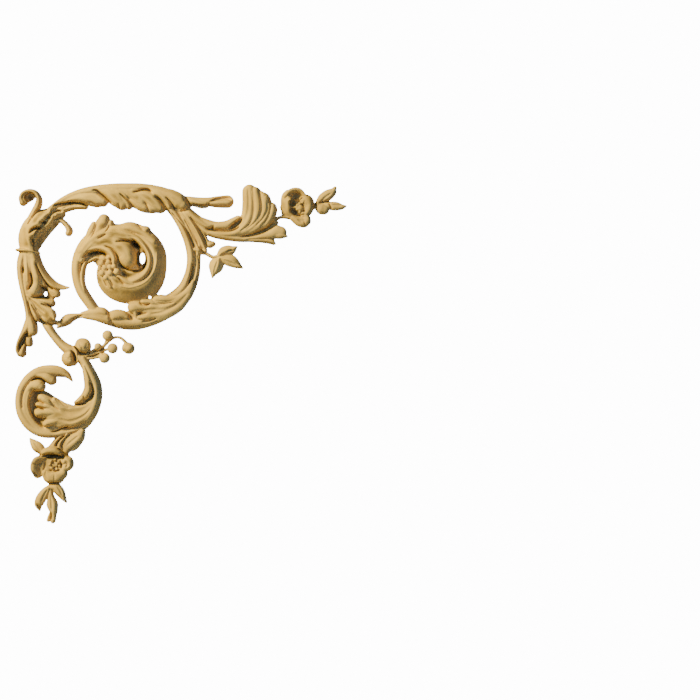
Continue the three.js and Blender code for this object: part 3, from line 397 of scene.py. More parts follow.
groove(10.5, (228.6, 228.8, 1.2), (233, 226, 3), (238.4, 221.8, 3.6), (242.6, 217.8, 2.2))
stroke("round", (183, 207, 5, 10), (192, 218.5, 5, 10.5), (201, 228, 4, 9.5),
        (212, 233.6, 3.6, 9.5), (224, 236.4, 3.6, 9.5), (238, 238, 3.8, 9),
        (252, 238.6, 3.4, 8.5), (264, 239.8, 3.2, 8), (270.6, 241.6, 2.6, 7),
        (273.2, 243.4, 1.6, 6))
stroke("crown", (236, 238, 3.2, 8), (254, 237.4, 4.4, 9), (267, 235, 6, 10.5),
        (275, 231.6, 6.8, 11), (280.6, 232, 6, 10.5))
stroke("crown", (275, 234, 4.4, 10), (281, 234.8, 4, 10.5), (286.6, 236, 1.2, 9))
stroke("crown", (266, 239.4, 2.6, 9), (272, 241.2, 2.6, 8.5), (275, 243.6, 0.9, 7))
stroke("crown", (208, 232.4, 3, 9.5), (226, 233, 4.8, 11), (240, 228.6, 7, 12.5),
        (248, 217.4, 7.6, 14), (249.6, 205, 7.6, 15), (249.4, 191.6, 7.4, 14.5))
stroke("crown", (224, 234.6, 3, 9), (241, 231, 5.6, 11.5), (252.4, 223.4, 7.6, 13.5),
        (257.4, 211.6, 7.6, 15.5), (257, 201, 7, 16), (255, 193, 6.4, 15.5))
stroke("crown", (240, 235, 3, 9), (254, 228.6, 5.6, 12), (262.4, 219, 7, 14),
        (265.6, 208, 6.8, 15.5), (264.4, 199.4, 6.2, 15.5), (263.4, 197.4, 5.4, 15))
stroke("crown", (250, 233.5, 3, 8.5), (262, 226.6, 4.8, 11), (268.4, 218.4, 5.6, 13),
        (271.6, 210.6, 5.6, 14), (271.8, 207.4, 5, 13.5))
stroke("flat", (228, 232.6, 3, 9.5), (242, 228.6, 6, 11), (252, 220, 9.6, 12.2),
        (258, 209.6, 11.6, 13.4), (257.6, 199.6, 9.8, 14))
stroke("flat", (250, 235.5, 2, 5), (262, 231, 4, 5.5), (271, 226.5, 4.4, 5.5),
        (276, 222.5, 2.4, 5.5))
groove(1.3, (227, 232.6, 1.2), (240, 226.6, 2.1), (246.6, 216, 2.6), (248.8, 204, 2.4),
        (248, 188, 1.8))
groove(1.4, (240, 231.4, 1), (250.6, 222.6, 1.6), (254.4, 211, 1.9), (254, 200, 1.7),
        (253, 187.6, 1.3))
groove(1.4, (246, 229.6, 1), (256, 221, 1.8), (261, 210, 2.2), (260.6, 198, 1.9),
        (259.8, 190, 1.4))
groove(1.4, (256, 226, 1), (263.6, 217.6, 1.7), (267.4, 209, 1.8), (267, 200.6, 1.4))
groove(1.5, (260, 226.6, 0.9), (266.6, 219.4, 1.4), (270.2, 211, 1.6), (270.6, 202, 1.3))
groove(5, (258.6, 190.4, 1), (260.6, 189, 1.4), (262.6, 187.4, 1.4))
groove(5, (268.6, 202.6, 1), (270.6, 200.6, 1.4), (272.6, 198.4, 1.4))
groove(4.5, (205.6, 228.4, 0.8), (214, 230.4, 1.3), (225, 231.2, 1.3), (234, 229.8, 1.2),
        (239.6, 226.2, 0.9))
groove(5.5, (240, 236.8, 1), (252, 234.8, 2), (263, 230.8, 3), (271, 226.6, 3.2), (276.4, 223, 2))
groove(1.6, (246, 239.4, 0.9), (260, 238.8, 1.5), (270, 238.6, 1.4), (276.4, 240.4, 1))
tally("pods and large leaf")

# %% [markdown]
# A flower with cupped petals and three leaves end the upper spray. Each petal is a short wide
# stroke round a low disc, and a wide groove hollows it, so that its rim catches the light.

# %% Upper flower
stroke("round", (267, 224, 2, 7.5), (273, 220.8, 1.9, 7.5), (279, 217.2, 1.7, 7),
        (285, 216.8, 1.8, 7), (291, 217.6, 2, 7))
stroke("round", (280.3, 206.3, 0.8, 4), (282, 210.5, 1.3, 5.5), (283, 215, 1.6, 6))
stroke("flat", (292, 202, 7, 5.4), (298, 208.5, 9.4, 5.4))
stroke("round", (288, 207.4, 2.2, 9), (293, 207, 1.7, 9.5), (298, 207, 2.4, 10.5))
stroke("fallleft", (291.4, 217, 3, 9), (286.4, 211.6, 4.4, 11.5), (285.2, 203, 4.8, 13),
        (286.2, 196.6, 5, 12.8), (288, 193.6, 4.4, 12))
stroke("fallright", (286.6, 197, 3.4, 12.5), (291.4, 193.6, 5.2, 13.6), (298, 193, 5.4, 13.2),
        (303.4, 196.4, 3.6, 12))
stroke("crown", (301.6, 198.4, 3.4, 12), (306.6, 199.8, 5.8, 13.5), (308.6, 205.4, 6, 13.5),
        (306.6, 211.4, 5, 12.5), (303, 213.6, 3, 11.5))
stroke("crown", (293, 217.6, 3.6, 10), (298.6, 221, 5, 11.5), (303.6, 222, 5.4, 12),
        (306.4, 220.6, 4.6, 11.5))
stroke("crown", (305, 214, 3.4, 10.5), (307.6, 218, 3, 11))
groove(6, (288.6, 197, 2), (293.6, 194.4, 4.6), (299.4, 194.6, 4.4), (303, 197, 2))
groove(2, (304, 201.6, 1), (306.4, 206, 2.2), (304.6, 210.6, 1.4))
groove(2.4, (297, 219, 1), (302, 221, 2.6), (305, 220, 1.4))
groove(3, (303.6, 196.6, 0.8), (300.6, 199.4, 1.2), (298.4, 201.4, 0.8))
groove(3, (296, 215.6, 0.8), (301, 215, 1.2), (305, 214, 0.9))
groove(3, (303.6, 221, 0.6), (305.4, 224.4, 1), (306, 227.6, 0.9))
groove(4, (289, 201.4, 1), (291.4, 203.8, 2.2), (295.6, 204.8, 1.2))
groove(-2.6, (287.6, 200.2, 0.9), (292, 199.6, 1.4), (297.4, 200.6, 1.1))
groove(4, (289.6, 209.4, 1), (292.6, 211.4, 2.4), (297.4, 213.4, 1.6))
groove(3, (301.4, 204.4, 0.7), (303.6, 206, 1.2), (304.8, 207.8, 0.7))
groove(3, (302, 210.6, 0.7), (304.2, 211.4, 1.2), (306, 210.4, 0.7))
stroke("round", (309, 205, 3, 8), (316, 205.3, 2.6, 6), (322, 205, 3, 8))
stroke("crown", (317.6, 203, 2.6, 8), (322, 198.4, 4.8, 10), (327.5, 195, 5.5, 10.5),
        (332.5, 191.5, 4.2, 9.5), (335, 187.6, 1.8, 7.5))
stroke("crown", (324, 204, 3, 7.5), (330, 205.4, 4.2, 9), (336.5, 205.9, 4.4, 9),
        (342, 206.5, 2.8, 8), (346.5, 205.6, 0.7, 6))
stroke("crown", (317, 206, 3.6, 9), (320.6, 208.2, 5.6, 11), (323.8, 208.9, 5.5, 10.5))
groove(1.3, (320, 202, 0.9), (325.6, 197, 1.8), (331.6, 193, 1.2))
groove(4, (318.6, 202.6, 0.7), (325, 201.6, 1), (331, 201, 1), (336, 200, 0.7))
groove(4, (329, 203, 0.7), (330.6, 206.6, 1.1), (331, 209.6, 1))
groove(1.6, (331.6, 204.4, 0.9), (337, 205, 1.5), (342, 205.8, 1))
groove(5, (313.6, 200, 0.9), (315.6, 205, 1.3), (315.4, 210, 1))
tally("upper flower")

# %% [markdown]
# The ring is two strands that part and meet again, with a side sprig and long leaf fingers that
# run round its lower half. A low web lies between the strands.

# %% The ring
stroke("round", (164, 203, 4, 10.5), (171, 209.6, 4.2, 11), (178, 219.4, 4.4, 11.5),
        (184, 231, 4.5, 11.5), (188.4, 243, 4.5, 11.5), (190.9, 255, 4.7, 11.5),
        (190.4, 267, 4.7, 11.5), (187.5, 278, 5, 11.5), (182.2, 288, 5.2, 11.5),
        (174, 295.5, 5.2, 11), (165, 299.5, 4, 10.5))
stroke("flat", (184, 214, 4.6, 8.4), (190, 226, 5.6, 8.4), (195, 238, 5.6, 8), (198, 249, 3.4, 7),
        (196, 262, 3.4, 7), (194, 273, 3.6, 7), (190, 284, 3.6, 7.6))
stroke("round", (183, 210, 3.8, 11), (189, 219, 3.2, 11.5), (195, 228.5, 2.9, 11.5),
        (200, 238, 2.8, 11), (203.6, 246, 2.3, 10), (205.6, 250, 1.5, 9))
stroke("round", (180, 211, 3, 10), (186.5, 221, 2.2, 10), (192, 232, 1.8, 9.5),
        (196, 243, 1.8, 9), (198, 249, 2.4, 9.5))
stroke("round", (198, 226, 1.6, 8), (202.5, 233.5, 1.8, 8), (206.3, 239.5, 1.8, 7.5),
        (207.5, 243, 2, 7))
stroke("flat", (194, 228, 4, 6), (202, 239, 4, 6), (206, 245, 2.5, 6))
stroke("round", (205.5, 243.3, 2.4, 7), (209.5, 244, 4.2, 9), (212.3, 243.7, 3, 8.5))
stroke("round", (194, 249, 3, 10), (199, 250.3, 3.6, 11.5), (203.5, 252, 2.8, 9.5))
stroke("round", (203, 251.5, 2, 7), (207.5, 254.3, 1.9, 6.5), (212.5, 256.8, 1.8, 6),
        (218, 256, 1.8, 6.5), (222, 257, 1.6, 6.5))
stroke("keel", (218, 256, 2.4, 7), (222.4, 251.6, 4.8, 8.6), (227.6, 250.4, 5.4, 9.2),
        (232.2, 249.2, 4.2, 8.6), (236.6, 246.3, 0.8, 6.4))
stroke("keel", (219, 256.5, 2.4, 7), (225.5, 259.2, 5.4, 9.4), (231.5, 261, 6.1, 9.4),
        (237, 264.6, 4, 8), (242.3, 267.8, 0.8, 6))
stroke("keel", (219.5, 257, 2.4, 7), (217, 262.5, 7, 9.4), (214.8, 268.3, 6.9, 9.4),
        (213, 273.3, 3.4, 8), (212, 277.5, 0.8, 6))
stroke("round", (197.5, 251, 3, 10), (197.7, 262, 2.6, 9.5), (196.7, 273, 2.9, 9.5),
        (193.7, 283.5, 3.4, 9.5), (188.5, 293.7, 4.2, 10), (180.7, 303, 5.2, 10),
        (170.5, 310.3, 6, 10.5), (159, 316.2, 6.4, 11), (147, 320.5, 6.8, 11),
        (134.5, 322.5, 7.4, 11), (122, 322, 7.2, 11), (110, 319.3, 6.6, 10.5),
        (98, 316.5, 5.4, 10), (87, 315.3, 3.6, 9), (79, 315.6, 2.6, 8.5), (72.5, 317, 4, 9),
        (67, 319.4, 5.6, 10.5), (61.6, 323.4, 4.2, 9.5), (57, 327.3, 1.3, 7))
stroke("crown", (193, 282, 3.6, 10.5), (186, 294, 6.4, 12), (174, 303, 8.4, 13),
        (160, 309.6, 9, 13.5), (150, 311.6, 8, 13.5))
stroke("flat", (188, 293, 4.6, 11.2), (176, 304, 8.4, 12.2), (161, 310.6, 9.6, 13),
        (148, 312, 7.8, 13.2))
stroke("crown", (180, 296.6, 3, 11.5), (171, 299.2, 4, 13), (162, 298.9, 4.4, 14.5),
        (156.6, 298.7, 4, 14.5))
stroke("crown", (168, 303, 3, 12.5), (158, 302.6, 3.6, 14), (148.6, 302.2, 3.7, 15),
        (143.6, 301.9, 3.5, 15))
stroke("crown", (160, 307, 4, 13), (147, 306.6, 5.4, 15), (138.6, 306.4, 6.2, 16),
        (133.6, 307.2, 6.4, 16))
stroke("crown", (135, 309, 5, 14.5), (135.4, 314, 2.6, 13), (136, 317, 1.4, 12))
stroke("crown", (164, 313.6, 4, 12), (152, 315.6, 4.8, 12.8), (143, 317, 4.2, 13),
        (139, 317.4, 3.4, 12.6))
stroke("crown", (82, 314.5, 3, 9.5), (93, 312.6, 4.6, 11.5), (100.6, 311.6, 4.8, 13.5),
        (104.4, 312.8, 4.2, 13.5))
stroke("flat", (84, 315.4, 3.4, 9.4), (94, 315.8, 5, 11.2), (103, 317, 5.6, 12.2),
        (108, 318.4, 5.6, 12))
stroke("crown", (100, 317.8, 2.8, 10.5), (107.6, 317, 5, 13), (116, 315.2, 6, 14.5),
        (122, 315, 5, 14), (126, 316.6, 3.8, 13))
stroke("flat", (118, 317, 4, 7), (132, 314.5, 4.5, 7), (148, 312, 4, 7))
groove(5, (150.6, 303.2, 0.6), (146.4, 305.2, 1.2), (141.6, 304, 1.5), (139.4, 301.4, 1))
groove(1.6, (174, 302.4, 0.9), (166, 303.8, 1.5), (158, 303.2, 1.6), (152, 300.4, 1.2))
groove(3.2, (148, 313, 0.7), (143.4, 313.8, 1.6), (139.4, 313.4, 2.2), (137, 311.4, 1.4))
groove(3, (157, 318, 0.7), (151.6, 320, 1.6), (146, 321.4, 1.6), (141.6, 322, 0.9))
groove(1, (178, 304, 1.4), (165, 309, 2.6), (151, 310, 1.8))
groove(1, (188, 293, 1.4), (178, 303, 2.4), (164, 311.6, 2.4), (150, 314.4, 1.4))
groove(4, (106.4, 309.6, 1), (109, 314, 2.3), (110.4, 319.6, 2.1), (111, 324.6, 1.2))
groove(5, (112.6, 322.6, 0.8), (113.4, 325.4, 1.3), (115.6, 327.2, 0.8))
groove(4, (73.4, 324.4, 0.8), (73.4, 319.6, 1.6), (77, 316.6, 1.6), (83, 315, 0.8))
groove(3, (128, 314, 0.9), (131, 317.6, 1.6), (132.6, 320.6, 0.9))
groove(3.4, (171.6, 212.4, 0.7), (183.2, 225.6, 1.4), (190.2, 238, 1.8), (193.8, 247, 1.2))
groove(3, (184, 219, 0.9), (190.4, 229, 1.9), (195, 238.6, 2.1), (198, 245.6, 1.3))
groove(3.4, (190, 216.6, 0.7), (197.6, 226.6, 1.3), (203.4, 236.6, 1.5), (206.6, 246, 1.1))
groove(7, (199.6, 248, 0.8), (202.6, 251.4, 1.6), (206.6, 254, 1.1))
groove(6, (192.8, 263, 0.7), (192.2, 270, 1.2), (190.6, 277.6, 1.2), (188.4, 284, 0.8))
groove(4, (197.4, 255, 0.7), (198.6, 264, 1.1), (197.8, 274, 1.2), (194.4, 285, 1))
groove(4, (223.4, 263, 0.6), (225.4, 266, 1), (227, 268.4, 0.8))
groove(4, (226, 252, 0.8), (230, 250.2, 1.6), (233.6, 250.4, 1.2))
groove(1.5, (217.6, 260, 0.9), (215.4, 267, 1.8), (213, 274, 1.1))
groove(1.5, (223.6, 259.6, 0.9), (231, 262.4, 1.8), (238, 265.8, 1))
tally("ring")

# %% [markdown]
# The stem inside the ring coils into a boss, the highest part of the carving. Its folds wind
# round a hollow eye and a cluster of berries.

# %% The boss
stroke("round", (100, 318, 5, 9.5), (94, 309.5, 5.3, 10.5), (87.5, 300.5, 5.6, 11.5),
        (81.5, 291, 5.9, 12), (78, 281, 6, 12.5), (76.3, 270.5, 5.8, 13), (77.2, 260, 5.8, 14),
        (81, 250, 6.2, 15), (87.5, 241.3, 6.6, 16), (97, 234.3, 7, 17), (109, 230.4, 7, 17.5),
        (120, 229.4, 5.8, 17.5), (128, 228.2, 6.7, 17.2), (134.4, 229.6, 7, 17),
        (144.5, 234, 6.6, 16.5), (153, 241.5, 6.4, 17))
stroke("round", (84.5, 293, 2, 11), (82, 281, 2.6, 13), (82.3, 271, 2.8, 14),
        (84.3, 264, 2.4, 14), (86, 261, 1.2, 12))
stroke("flat", (82, 262, 3, 7.5), (87, 256.5, 5, 8), (97, 256, 7.5, 9), (108, 262, 12, 12))
stroke("flat", (102, 258, 4, 13.4), (107, 262, 6, 14.6), (108, 268, 8, 15.8), (111, 274, 7, 16.6),
        (116, 275, 5, 17.6))
stroke("flat", (80, 260, 4, 14.5), (84.6, 249.6, 5, 16.5), (93.4, 240.4, 6, 18.4),
        (105, 235.4, 6.6, 19.4), (119, 234.6, 6.4, 20), (129, 237, 5, 20))
stroke("flat", (110, 262, 9, 9), (121, 254, 16, 9), (134, 254, 17, 9))
stroke("flat", (112, 268, 10, 14), (124, 272, 10, 15), (136, 274, 9, 15))
stroke("crown", (87, 240, 3.4, 13.5), (90.6, 232, 4.2, 14.5), (93, 226.4, 3.8, 14.5),
        (93.6, 224.6, 3.3, 14))
stroke("crown", (92, 239, 4.4, 15), (98.6, 229.6, 6.4, 16.5), (102.6, 222.6, 6.8, 17),
        (103.6, 219.8, 6, 16.5))
stroke("crown", (101, 236, 4, 15), (107, 229, 4.6, 15.5), (109.9, 224, 4, 15),
        (110.3, 222.6, 3.3, 14.5))
stroke("roll", (118, 231, 5, 15.5), (130, 228.7, 6.3, 16), (138, 229.8, 5, 15.5),
        (145.4, 230.8, 5.2, 14.6))
stroke("fallleft", (139, 234, 5, 16), (151, 240.6, 6.6, 18), (158, 252, 7.2, 20),
        (159.2, 267, 7, 21), (155.3, 280.5, 8.2, 21), (145.5, 290.5, 10, 21),
        (131, 293.8, 10.2, 21), (117, 290.5, 10.4, 21), (107, 282.3, 9.5, 20.5),
        (101.5, 272.5, 6, 18.5), (99.5, 266, 2.4, 14))
stroke("round", (118, 234, 3.4, 18), (132, 236, 4.4, 20.5), (142.5, 243.3, 4.4, 22),
        (148.9, 254.5, 4.2, 23), (149.3, 266, 4.6, 23), (144, 275, 5.8, 23),
        (135.4, 280.2, 6.2, 22), (127, 281.4, 5.4, 20), (119, 279.6, 3.6, 17.5))
stroke("crown", (80, 252, 5, 16), (93, 243.5, 8.5, 18), (107, 241.5, 10.5, 20.5),
        (119, 246, 10, 23), (126.4, 253.5, 9, 24.8), (128, 260.5, 8, 24.5))
stroke("crown", (118, 249, 5, 22), (124.4, 253.2, 8.8, 24.2), (127.6, 259, 9.3, 25.2))
stroke("round", (84, 251.5, 3.4, 16), (97, 247.8, 5, 18.5), (108, 250, 6, 21.5),
        (114, 257.5, 5, 22.5), (114.3, 263, 4, 21))
stroke("round", (86, 263, 1.5, 10), (91, 259.7, 2.2, 11.5), (96.5, 257.7, 2.3, 12.5),
        (101, 259.5, 2, 12.5))
stroke("round", (111, 287, 3, 20), (108, 281.5, 2.6, 20.5), (106.5, 278, 2, 19.5))
stroke("crown", (121, 288, 4, 20.5), (115.5, 283.5, 3.6, 21.5), (112, 278.5, 2.8, 21))
stroke("crown", (133, 284, 4, 21), (125, 281, 4.4, 22), (119, 276.5, 3, 21))
groove(7, (116, 241.8, 0.6), (124, 241.2, 1.1), (131, 242, 1.8), (136, 245.6, 2.2),
        (139.6, 250, 2.2))
groove(9, (138.6, 250, 1.2), (137.6, 256, 1.9), (137.8, 263, 2), (139.6, 268.6, 1.6))
groove(8, (143, 249.6, 1), (146.2, 255, 1.5), (146.4, 262, 1.6), (143.4, 268, 1.7),
        (137.6, 270.9, 1.4),
        (130, 270.4, 1.1), (124, 267.6, 0.9), (120, 263.6, 0.8))
groove(4, (105, 246.2, 0.6), (112, 249, 1), (116.6, 254, 1.2), (118.6, 260, 1.2),
        (120.6, 265.6, 1.2),
        (125, 268.6, 0.9))
groove(4, (98, 238.8, 0.6), (102.4, 236.4, 1.1), (106.4, 234.2, 0.7))
groove(5, (82, 258.6, 0.9), (87, 254, 1.8), (95, 251.6, 2.3), (102, 252.6, 1.8), (106.6, 256.6, 1))
groove(5, (118, 277.4, 0.8), (121.4, 281, 1.2), (124.6, 284.8, 0.8))
groove(3, (110, 279.6, 0.6), (112, 283, 1), (113.6, 286.4, 0.7))
groove(3, (103.4, 280, 0.6), (105.6, 283.4, 0.9), (107, 286.6, 0.6))
groove(-1.2, (157, 252, 0.9), (156.6, 264, 1.3), (152, 275, 1.4), (143, 283.6, 1.4),
        (130, 287.6, 1.2),
        (120, 286, 0.8))
groove(1.3, (128, 235.4, 0.9), (138.6, 239, 1.5), (147, 246, 1.9), (152.2, 256, 2),
        (152.6, 267, 1.9),
        (148.6, 276, 1.1))
groove(6, (147, 231.6, 1.2), (150.4, 231.6, 1.9), (151, 235, 1.2))
groove(6, (136.6, 221.8, 1.2), (138.6, 225, 1.5), (141, 228, 0.9), (143.6, 230.4, 0.5))
groove(3, (109.4, 224.6, 0.7), (108.2, 228.6, 1), (105.4, 232.4, 0.5))
groove(2.4, (96.8, 223.6, 0.7), (95.2, 230, 1.1), (92.6, 235, 0.8), (90, 239, 0.4))
groove(1.4, (79.6, 249, 1), (84.6, 241.6, 1.8), (92, 235.4, 1.8), (101, 231.6, 1.1))
tally("boss")

# %% [markdown]
# Below the collar a bundle of strands falls, parts round a small opening and ends in a curled
# tail. Low webs behind the strands close what is not open on the real ornament.

# %% The corner stalk
stroke("round", (24.5, 250, 5, 12), (20.9, 261, 4.8, 14), (20.6, 273, 4.5, 14),
        (21.9, 284, 4, 13.5), (24.2, 295.5, 3.6, 13.5), (26.8, 306.5, 3.5, 13.5),
        (28.4, 317, 3.8, 13), (27.8, 324.5, 5, 13), (24.9, 331, 4.4, 12.5),
        (20.8, 337.5, 3.2, 12), (17.6, 344, 2.4, 12), (16.8, 350, 2.3, 11.5),
        (18.4, 354, 2.3, 10.5))
stroke("flat", (29, 252, 5.6, 9), (29, 262, 8, 9), (31, 273, 9.6, 9), (33, 284, 9, 9),
        (32, 294, 6, 9), (34, 303, 6.4, 9), (37, 312, 7, 9))
stroke("flat", (27, 254, 5, 13.4), (28.4, 262, 5.4, 14.6), (27.4, 270, 4.6, 14),
        (27, 280, 5, 13.5), (27.6, 290, 4, 13), (30, 300, 4, 12.5), (32, 309, 4, 12.5))
stroke("flat", (38, 267, 2.4, 7.5), (42.4, 275.6, 3.6, 7.5), (49, 283.4, 4.6, 7.5),
        (52, 291, 4.4, 7), (50, 298, 3.4, 6.5), (45, 301, 3, 6.5))
stroke("flat", (41.6, 287.6, 3.2, 6.5), (45, 291.6, 4.6, 6.5), (48, 297, 3.6, 6.5))
stroke("flat", (38.6, 290.6, 3, 6.5), (40, 293.6, 2.8, 6.5), (41, 296, 2.4, 6.5))
stroke("round", (26, 251, 3.4, 13), (26.6, 263, 3.4, 15.5), (27.4, 273, 3.1, 16),
        (27.6, 280.6, 2.8, 15.5))
stroke("crown", (31, 251, 4.2, 14), (34, 264, 5.2, 17), (36.4, 275, 5.2, 18.5),
        (36.6, 284, 5.6, 18.5), (34, 290.6, 5.8, 17.5))
stroke("fallleft", (35, 252, 3.4, 13.5), (37.8, 262, 3.7, 15.5), (42.4, 271.8, 3.8, 16.5),
        (49, 280.4, 4, 16), (56, 285.5, 3.5, 14), (62.6, 287.3, 2.5, 11), (68.2, 287.4, 0.9, 8))
stroke("roll", (38, 270, 3, 14), (41.6, 278, 3.3, 15), (43.6, 284.6, 3.2, 14.5))
stroke("crown", (46, 280, 3, 13), (50.6, 286.6, 3.8, 14), (54.6, 291.6, 4.4, 13.5),
        (56, 293.6, 4.2, 13))
stroke("crown", (46, 284, 2, 11), (48.5, 289, 2, 11.5), (51, 293.4, 2, 11), (53, 296, 2, 10.5))
stroke("crown", (28.5, 288, 2.8, 13.5), (33, 293.4, 4, 14.5), (38, 292.8, 3.8, 14.5))
stroke("roll", (29, 296, 3, 13.5), (37, 299.4, 3.2, 14.5), (45, 301.6, 3.6, 15), (51, 303, 4, 14))
stroke("fallright", (27, 297, 3, 14), (35, 303.6, 4.8, 16), (42.6, 309.8, 6.4, 17.5),
        (48.6, 315.2, 7.4, 17.5))
stroke("crown", (27, 300, 3, 12.5), (31.5, 309, 3.8, 14), (35.2, 315.4, 4, 14.5),
        (36.6, 318, 3.3, 13.5))
stroke("flat", (38, 319, 3, 7), (46, 321.5, 3.4, 7.5), (55, 322.5, 2.6, 7.5), (61, 323, 2.4, 7))
stroke("roll", (28.5, 315, 4, 12.5), (31, 324.6, 5.8, 14), (31.6, 330.6, 5.8, 13.5))
stroke("roll", (27, 334, 2.8, 9.5), (28.3, 340, 3.8, 11), (28.6, 343.3, 3.8, 10.5))
stroke("flat", (28, 334, 3.4, 6), (22.5, 340, 4.4, 5.5), (19, 346, 3.4, 5.5), (18, 351, 2.6, 5.5))
stroke("round", (24, 345, 2.2, 9.5), (22, 349.6, 3.8, 11.5), (21.3, 353, 4.6, 12))
groove(8, (22, 266.6, 0.8), (22.8, 270, 1.6), (22.4, 273.6, 0.9))
groove(9, (29.8, 272, 0.7), (31.6, 277.6, 1.2), (31.8, 283, 1.6), (29.4, 287.4, 1.4),
        (27.4, 290, 0.8))
groove(8, (35.4, 262, 0.7), (38.8, 270.6, 1.2), (43.2, 278.6, 1.4), (49, 286.2, 1.4),
        (53.6, 289.6, 0.8))
groove(7, (40, 285.6, 0.8), (43.6, 288.4, 1.8), (47.6, 290.4, 1.2))
groove(8, (31, 297, 0.7), (37, 297.9, 1.3), (43, 297.6, 1.5), (48.6, 298, 0.9))
groove(5, (41, 303.6, 0.6), (46, 305.6, 1.3), (52, 307.6, 1.2), (55, 308, 0.7))
groove(1.8, (29, 298, 0.9), (35.4, 304, 1.8), (41.6, 310, 1.6), (45, 313.4, 0.7))
groove(5, (27.6, 301, 0.7), (30.2, 311, 1.2), (33.6, 319, 1.4), (36.6, 325, 1.1))
groove(2.6, (31, 304, 0.8), (35.4, 311.4, 1.4), (39, 318, 1.1))
groove(6, (38.4, 317, 0.8), (40.6, 320.6, 1.8), (45.6, 323.6, 1.8), (52, 324.6, 1.4),
        (57, 323, 0.8))
groove(4, (53, 309.6, 0.7), (55.6, 314, 1.5), (55.6, 319.6, 1.2))
groove(5, (33.4, 321, 0.8), (36.4, 325.6, 1.8), (37, 331, 1.4))
groove(6, (27.6, 331, 0.7), (25.6, 334, 1.7), (22.6, 339, 2.2), (19.8, 345, 2.2), (18.8, 350, 1.4))
groove(4, (24.6, 333.6, 0.8), (27.4, 336.2, 1.5), (30.6, 337.6, 0.8))
groove(4, (24.4, 344, 0.7), (26.4, 346.6, 1.2), (26.6, 350, 0.7))
groove(4, (51, 288, 0.7), (55.6, 289.8, 1.1), (60.6, 290.6, 0.8))
tally("corner stalk")

# %% [markdown]
# A plain stem goes down to a knot, from which thin stalks carry the hanging berries.

# %% Lower stem, knot and berry stalks
stroke("round", (43, 318, 4.6, 9.5), (47.5, 327, 4.5, 9.5), (54, 336.5, 4.3, 9.5),
        (61, 344.5, 4.6, 10), (67.5, 349.5, 5.6, 11), (73, 352.5, 6, 11), (78, 356, 5, 11),
        (82, 361, 4.6, 11.5), (86.5, 367.5, 5.3, 12))
stroke("round", (77, 349.6, 5.4, 13), (80.8, 346.6, 8.2, 15.5), (82.2, 346.2, 8.4, 15.5))
stroke("round", (70, 354, 5, 13), (68, 357.6, 7.4, 14.5), (68.6, 359.2, 7.6, 14.5))
stroke("round", (70, 360, 5, 13), (72.4, 361.6, 4.6, 12.5))
stroke("round", (73.6, 346.5, 1.4, 13), (76.4, 350.6, 1.5, 13), (76.6, 356, 1.5, 12),
        (77.4, 361, 1.6, 11.5))
stroke("round", (80, 356, 2.4, 8), (88, 355.6, 2.3, 7.5), (95.5, 352.3, 1.9, 7),
        (102, 347, 1.8, 6.5), (108, 341, 1.7, 6.5), (114, 337.4, 1.4, 6), (119.5, 337.7, 1.4, 6),
        (123.6, 340.8, 1.6, 6), (126.5, 344.6, 1.9, 6))
stroke("round", (83, 358.5, 1.6, 7), (91, 358.2, 1.6, 6.5), (98, 356.6, 1.7, 6.5),
        (102, 356, 2, 6.5))
stroke("round", (92, 354, 1.3, 7), (99, 352.2, 1.3, 6.5), (106, 349.5, 1.4, 6.5),
        (110, 348.5, 1.6, 6.5))
stroke("round", (88, 354, 1.6, 7.5), (94, 349.5, 1.6, 7), (98, 347, 2, 7))
stroke("round", (104, 345, 1.4, 6.5), (106, 340, 1.5, 6.5), (107, 337, 2, 6.5))
stroke("round", (125.6, 347.2, 5.4, 10.5), (127.8, 348.2, 6, 11.5), (128.4, 348.4, 5.8, 11.5))
stroke("flat", (91, 354.6, 2.4, 5.5), (97, 354, 2.6, 5.5), (101.4, 353, 1.8, 5.5))
groove(8, (73.6, 346, 0.7), (77.4, 350, 1.5), (80, 353.6, 1.8), (86, 354.2, 1.5), (90, 352, 0.8))
groove(9, (70.6, 350.4, 0.8), (73.4, 354, 2), (74.6, 359, 2.2), (73, 363, 1.2))
groove(1.6, (79, 341.6, 0.7), (80.6, 346, 1.2), (84.6, 350.4, 0.8))
groove(1.4, (87, 343, 0.6), (86, 347.4, 1), (87.4, 351.6, 0.7))
groove(1.6, (63.4, 353.6, 0.7), (66, 357.6, 1.2), (70.6, 360.8, 0.8))
groove(4, (86, 356.6, 0.6), (93, 356, 1), (99, 353.2, 0.7))
groove(4, (92, 351.6, 0.6), (98, 351, 1), (104, 347.4, 0.7))
groove(3, (100.6, 351.6, 0.7), (103, 354, 1.1), (104.6, 353.6, 0.7))
tally("lower stem")

# %% [markdown]
# The lower scroll is a hook with a leaf lying in its bowl.

# %% The hooked scroll
stroke("round", (82, 358, 4.4, 11.5), (86.5, 366.5, 5.2, 12.5), (91, 376, 6, 13),
        (94.5, 386, 6.6, 13.5), (95.3, 397, 6.4, 13.5), (92.8, 407.5, 6.4, 13.5),
        (87.5, 416.5, 7, 13), (80, 424, 7.4, 11.5), (70, 429, 5.6, 10))
stroke("roll", (83.5, 366, 2.4, 13), (87, 377.6, 4, 15.5), (88.4, 387.6, 4.8, 17),
        (85.6, 394.8, 4.6, 16.5), (80.6, 399.2, 3.4, 14.5), (75, 402.6, 1.8, 12))
stroke("crown", (71.8, 381.3, 0.7, 8), (66.5, 375, 3.4, 10), (58, 371.7, 5.6, 12),
        (47.5, 370.8, 5.9, 13), (36.5, 373, 5.3, 13.5), (27.2, 380, 4.9, 13.5),
        (21, 390, 4.5, 13.5), (18.9, 401.5, 4.4, 13.5), (20.7, 413, 4.5, 13.5),
        (26.3, 423, 4.7, 13.5), (35, 430.3, 4.7, 13), (46, 433.8, 4.5, 12.5), (58, 433.4, 4, 11),
        (69, 431, 3.4, 10), (80, 427, 3, 9.5))
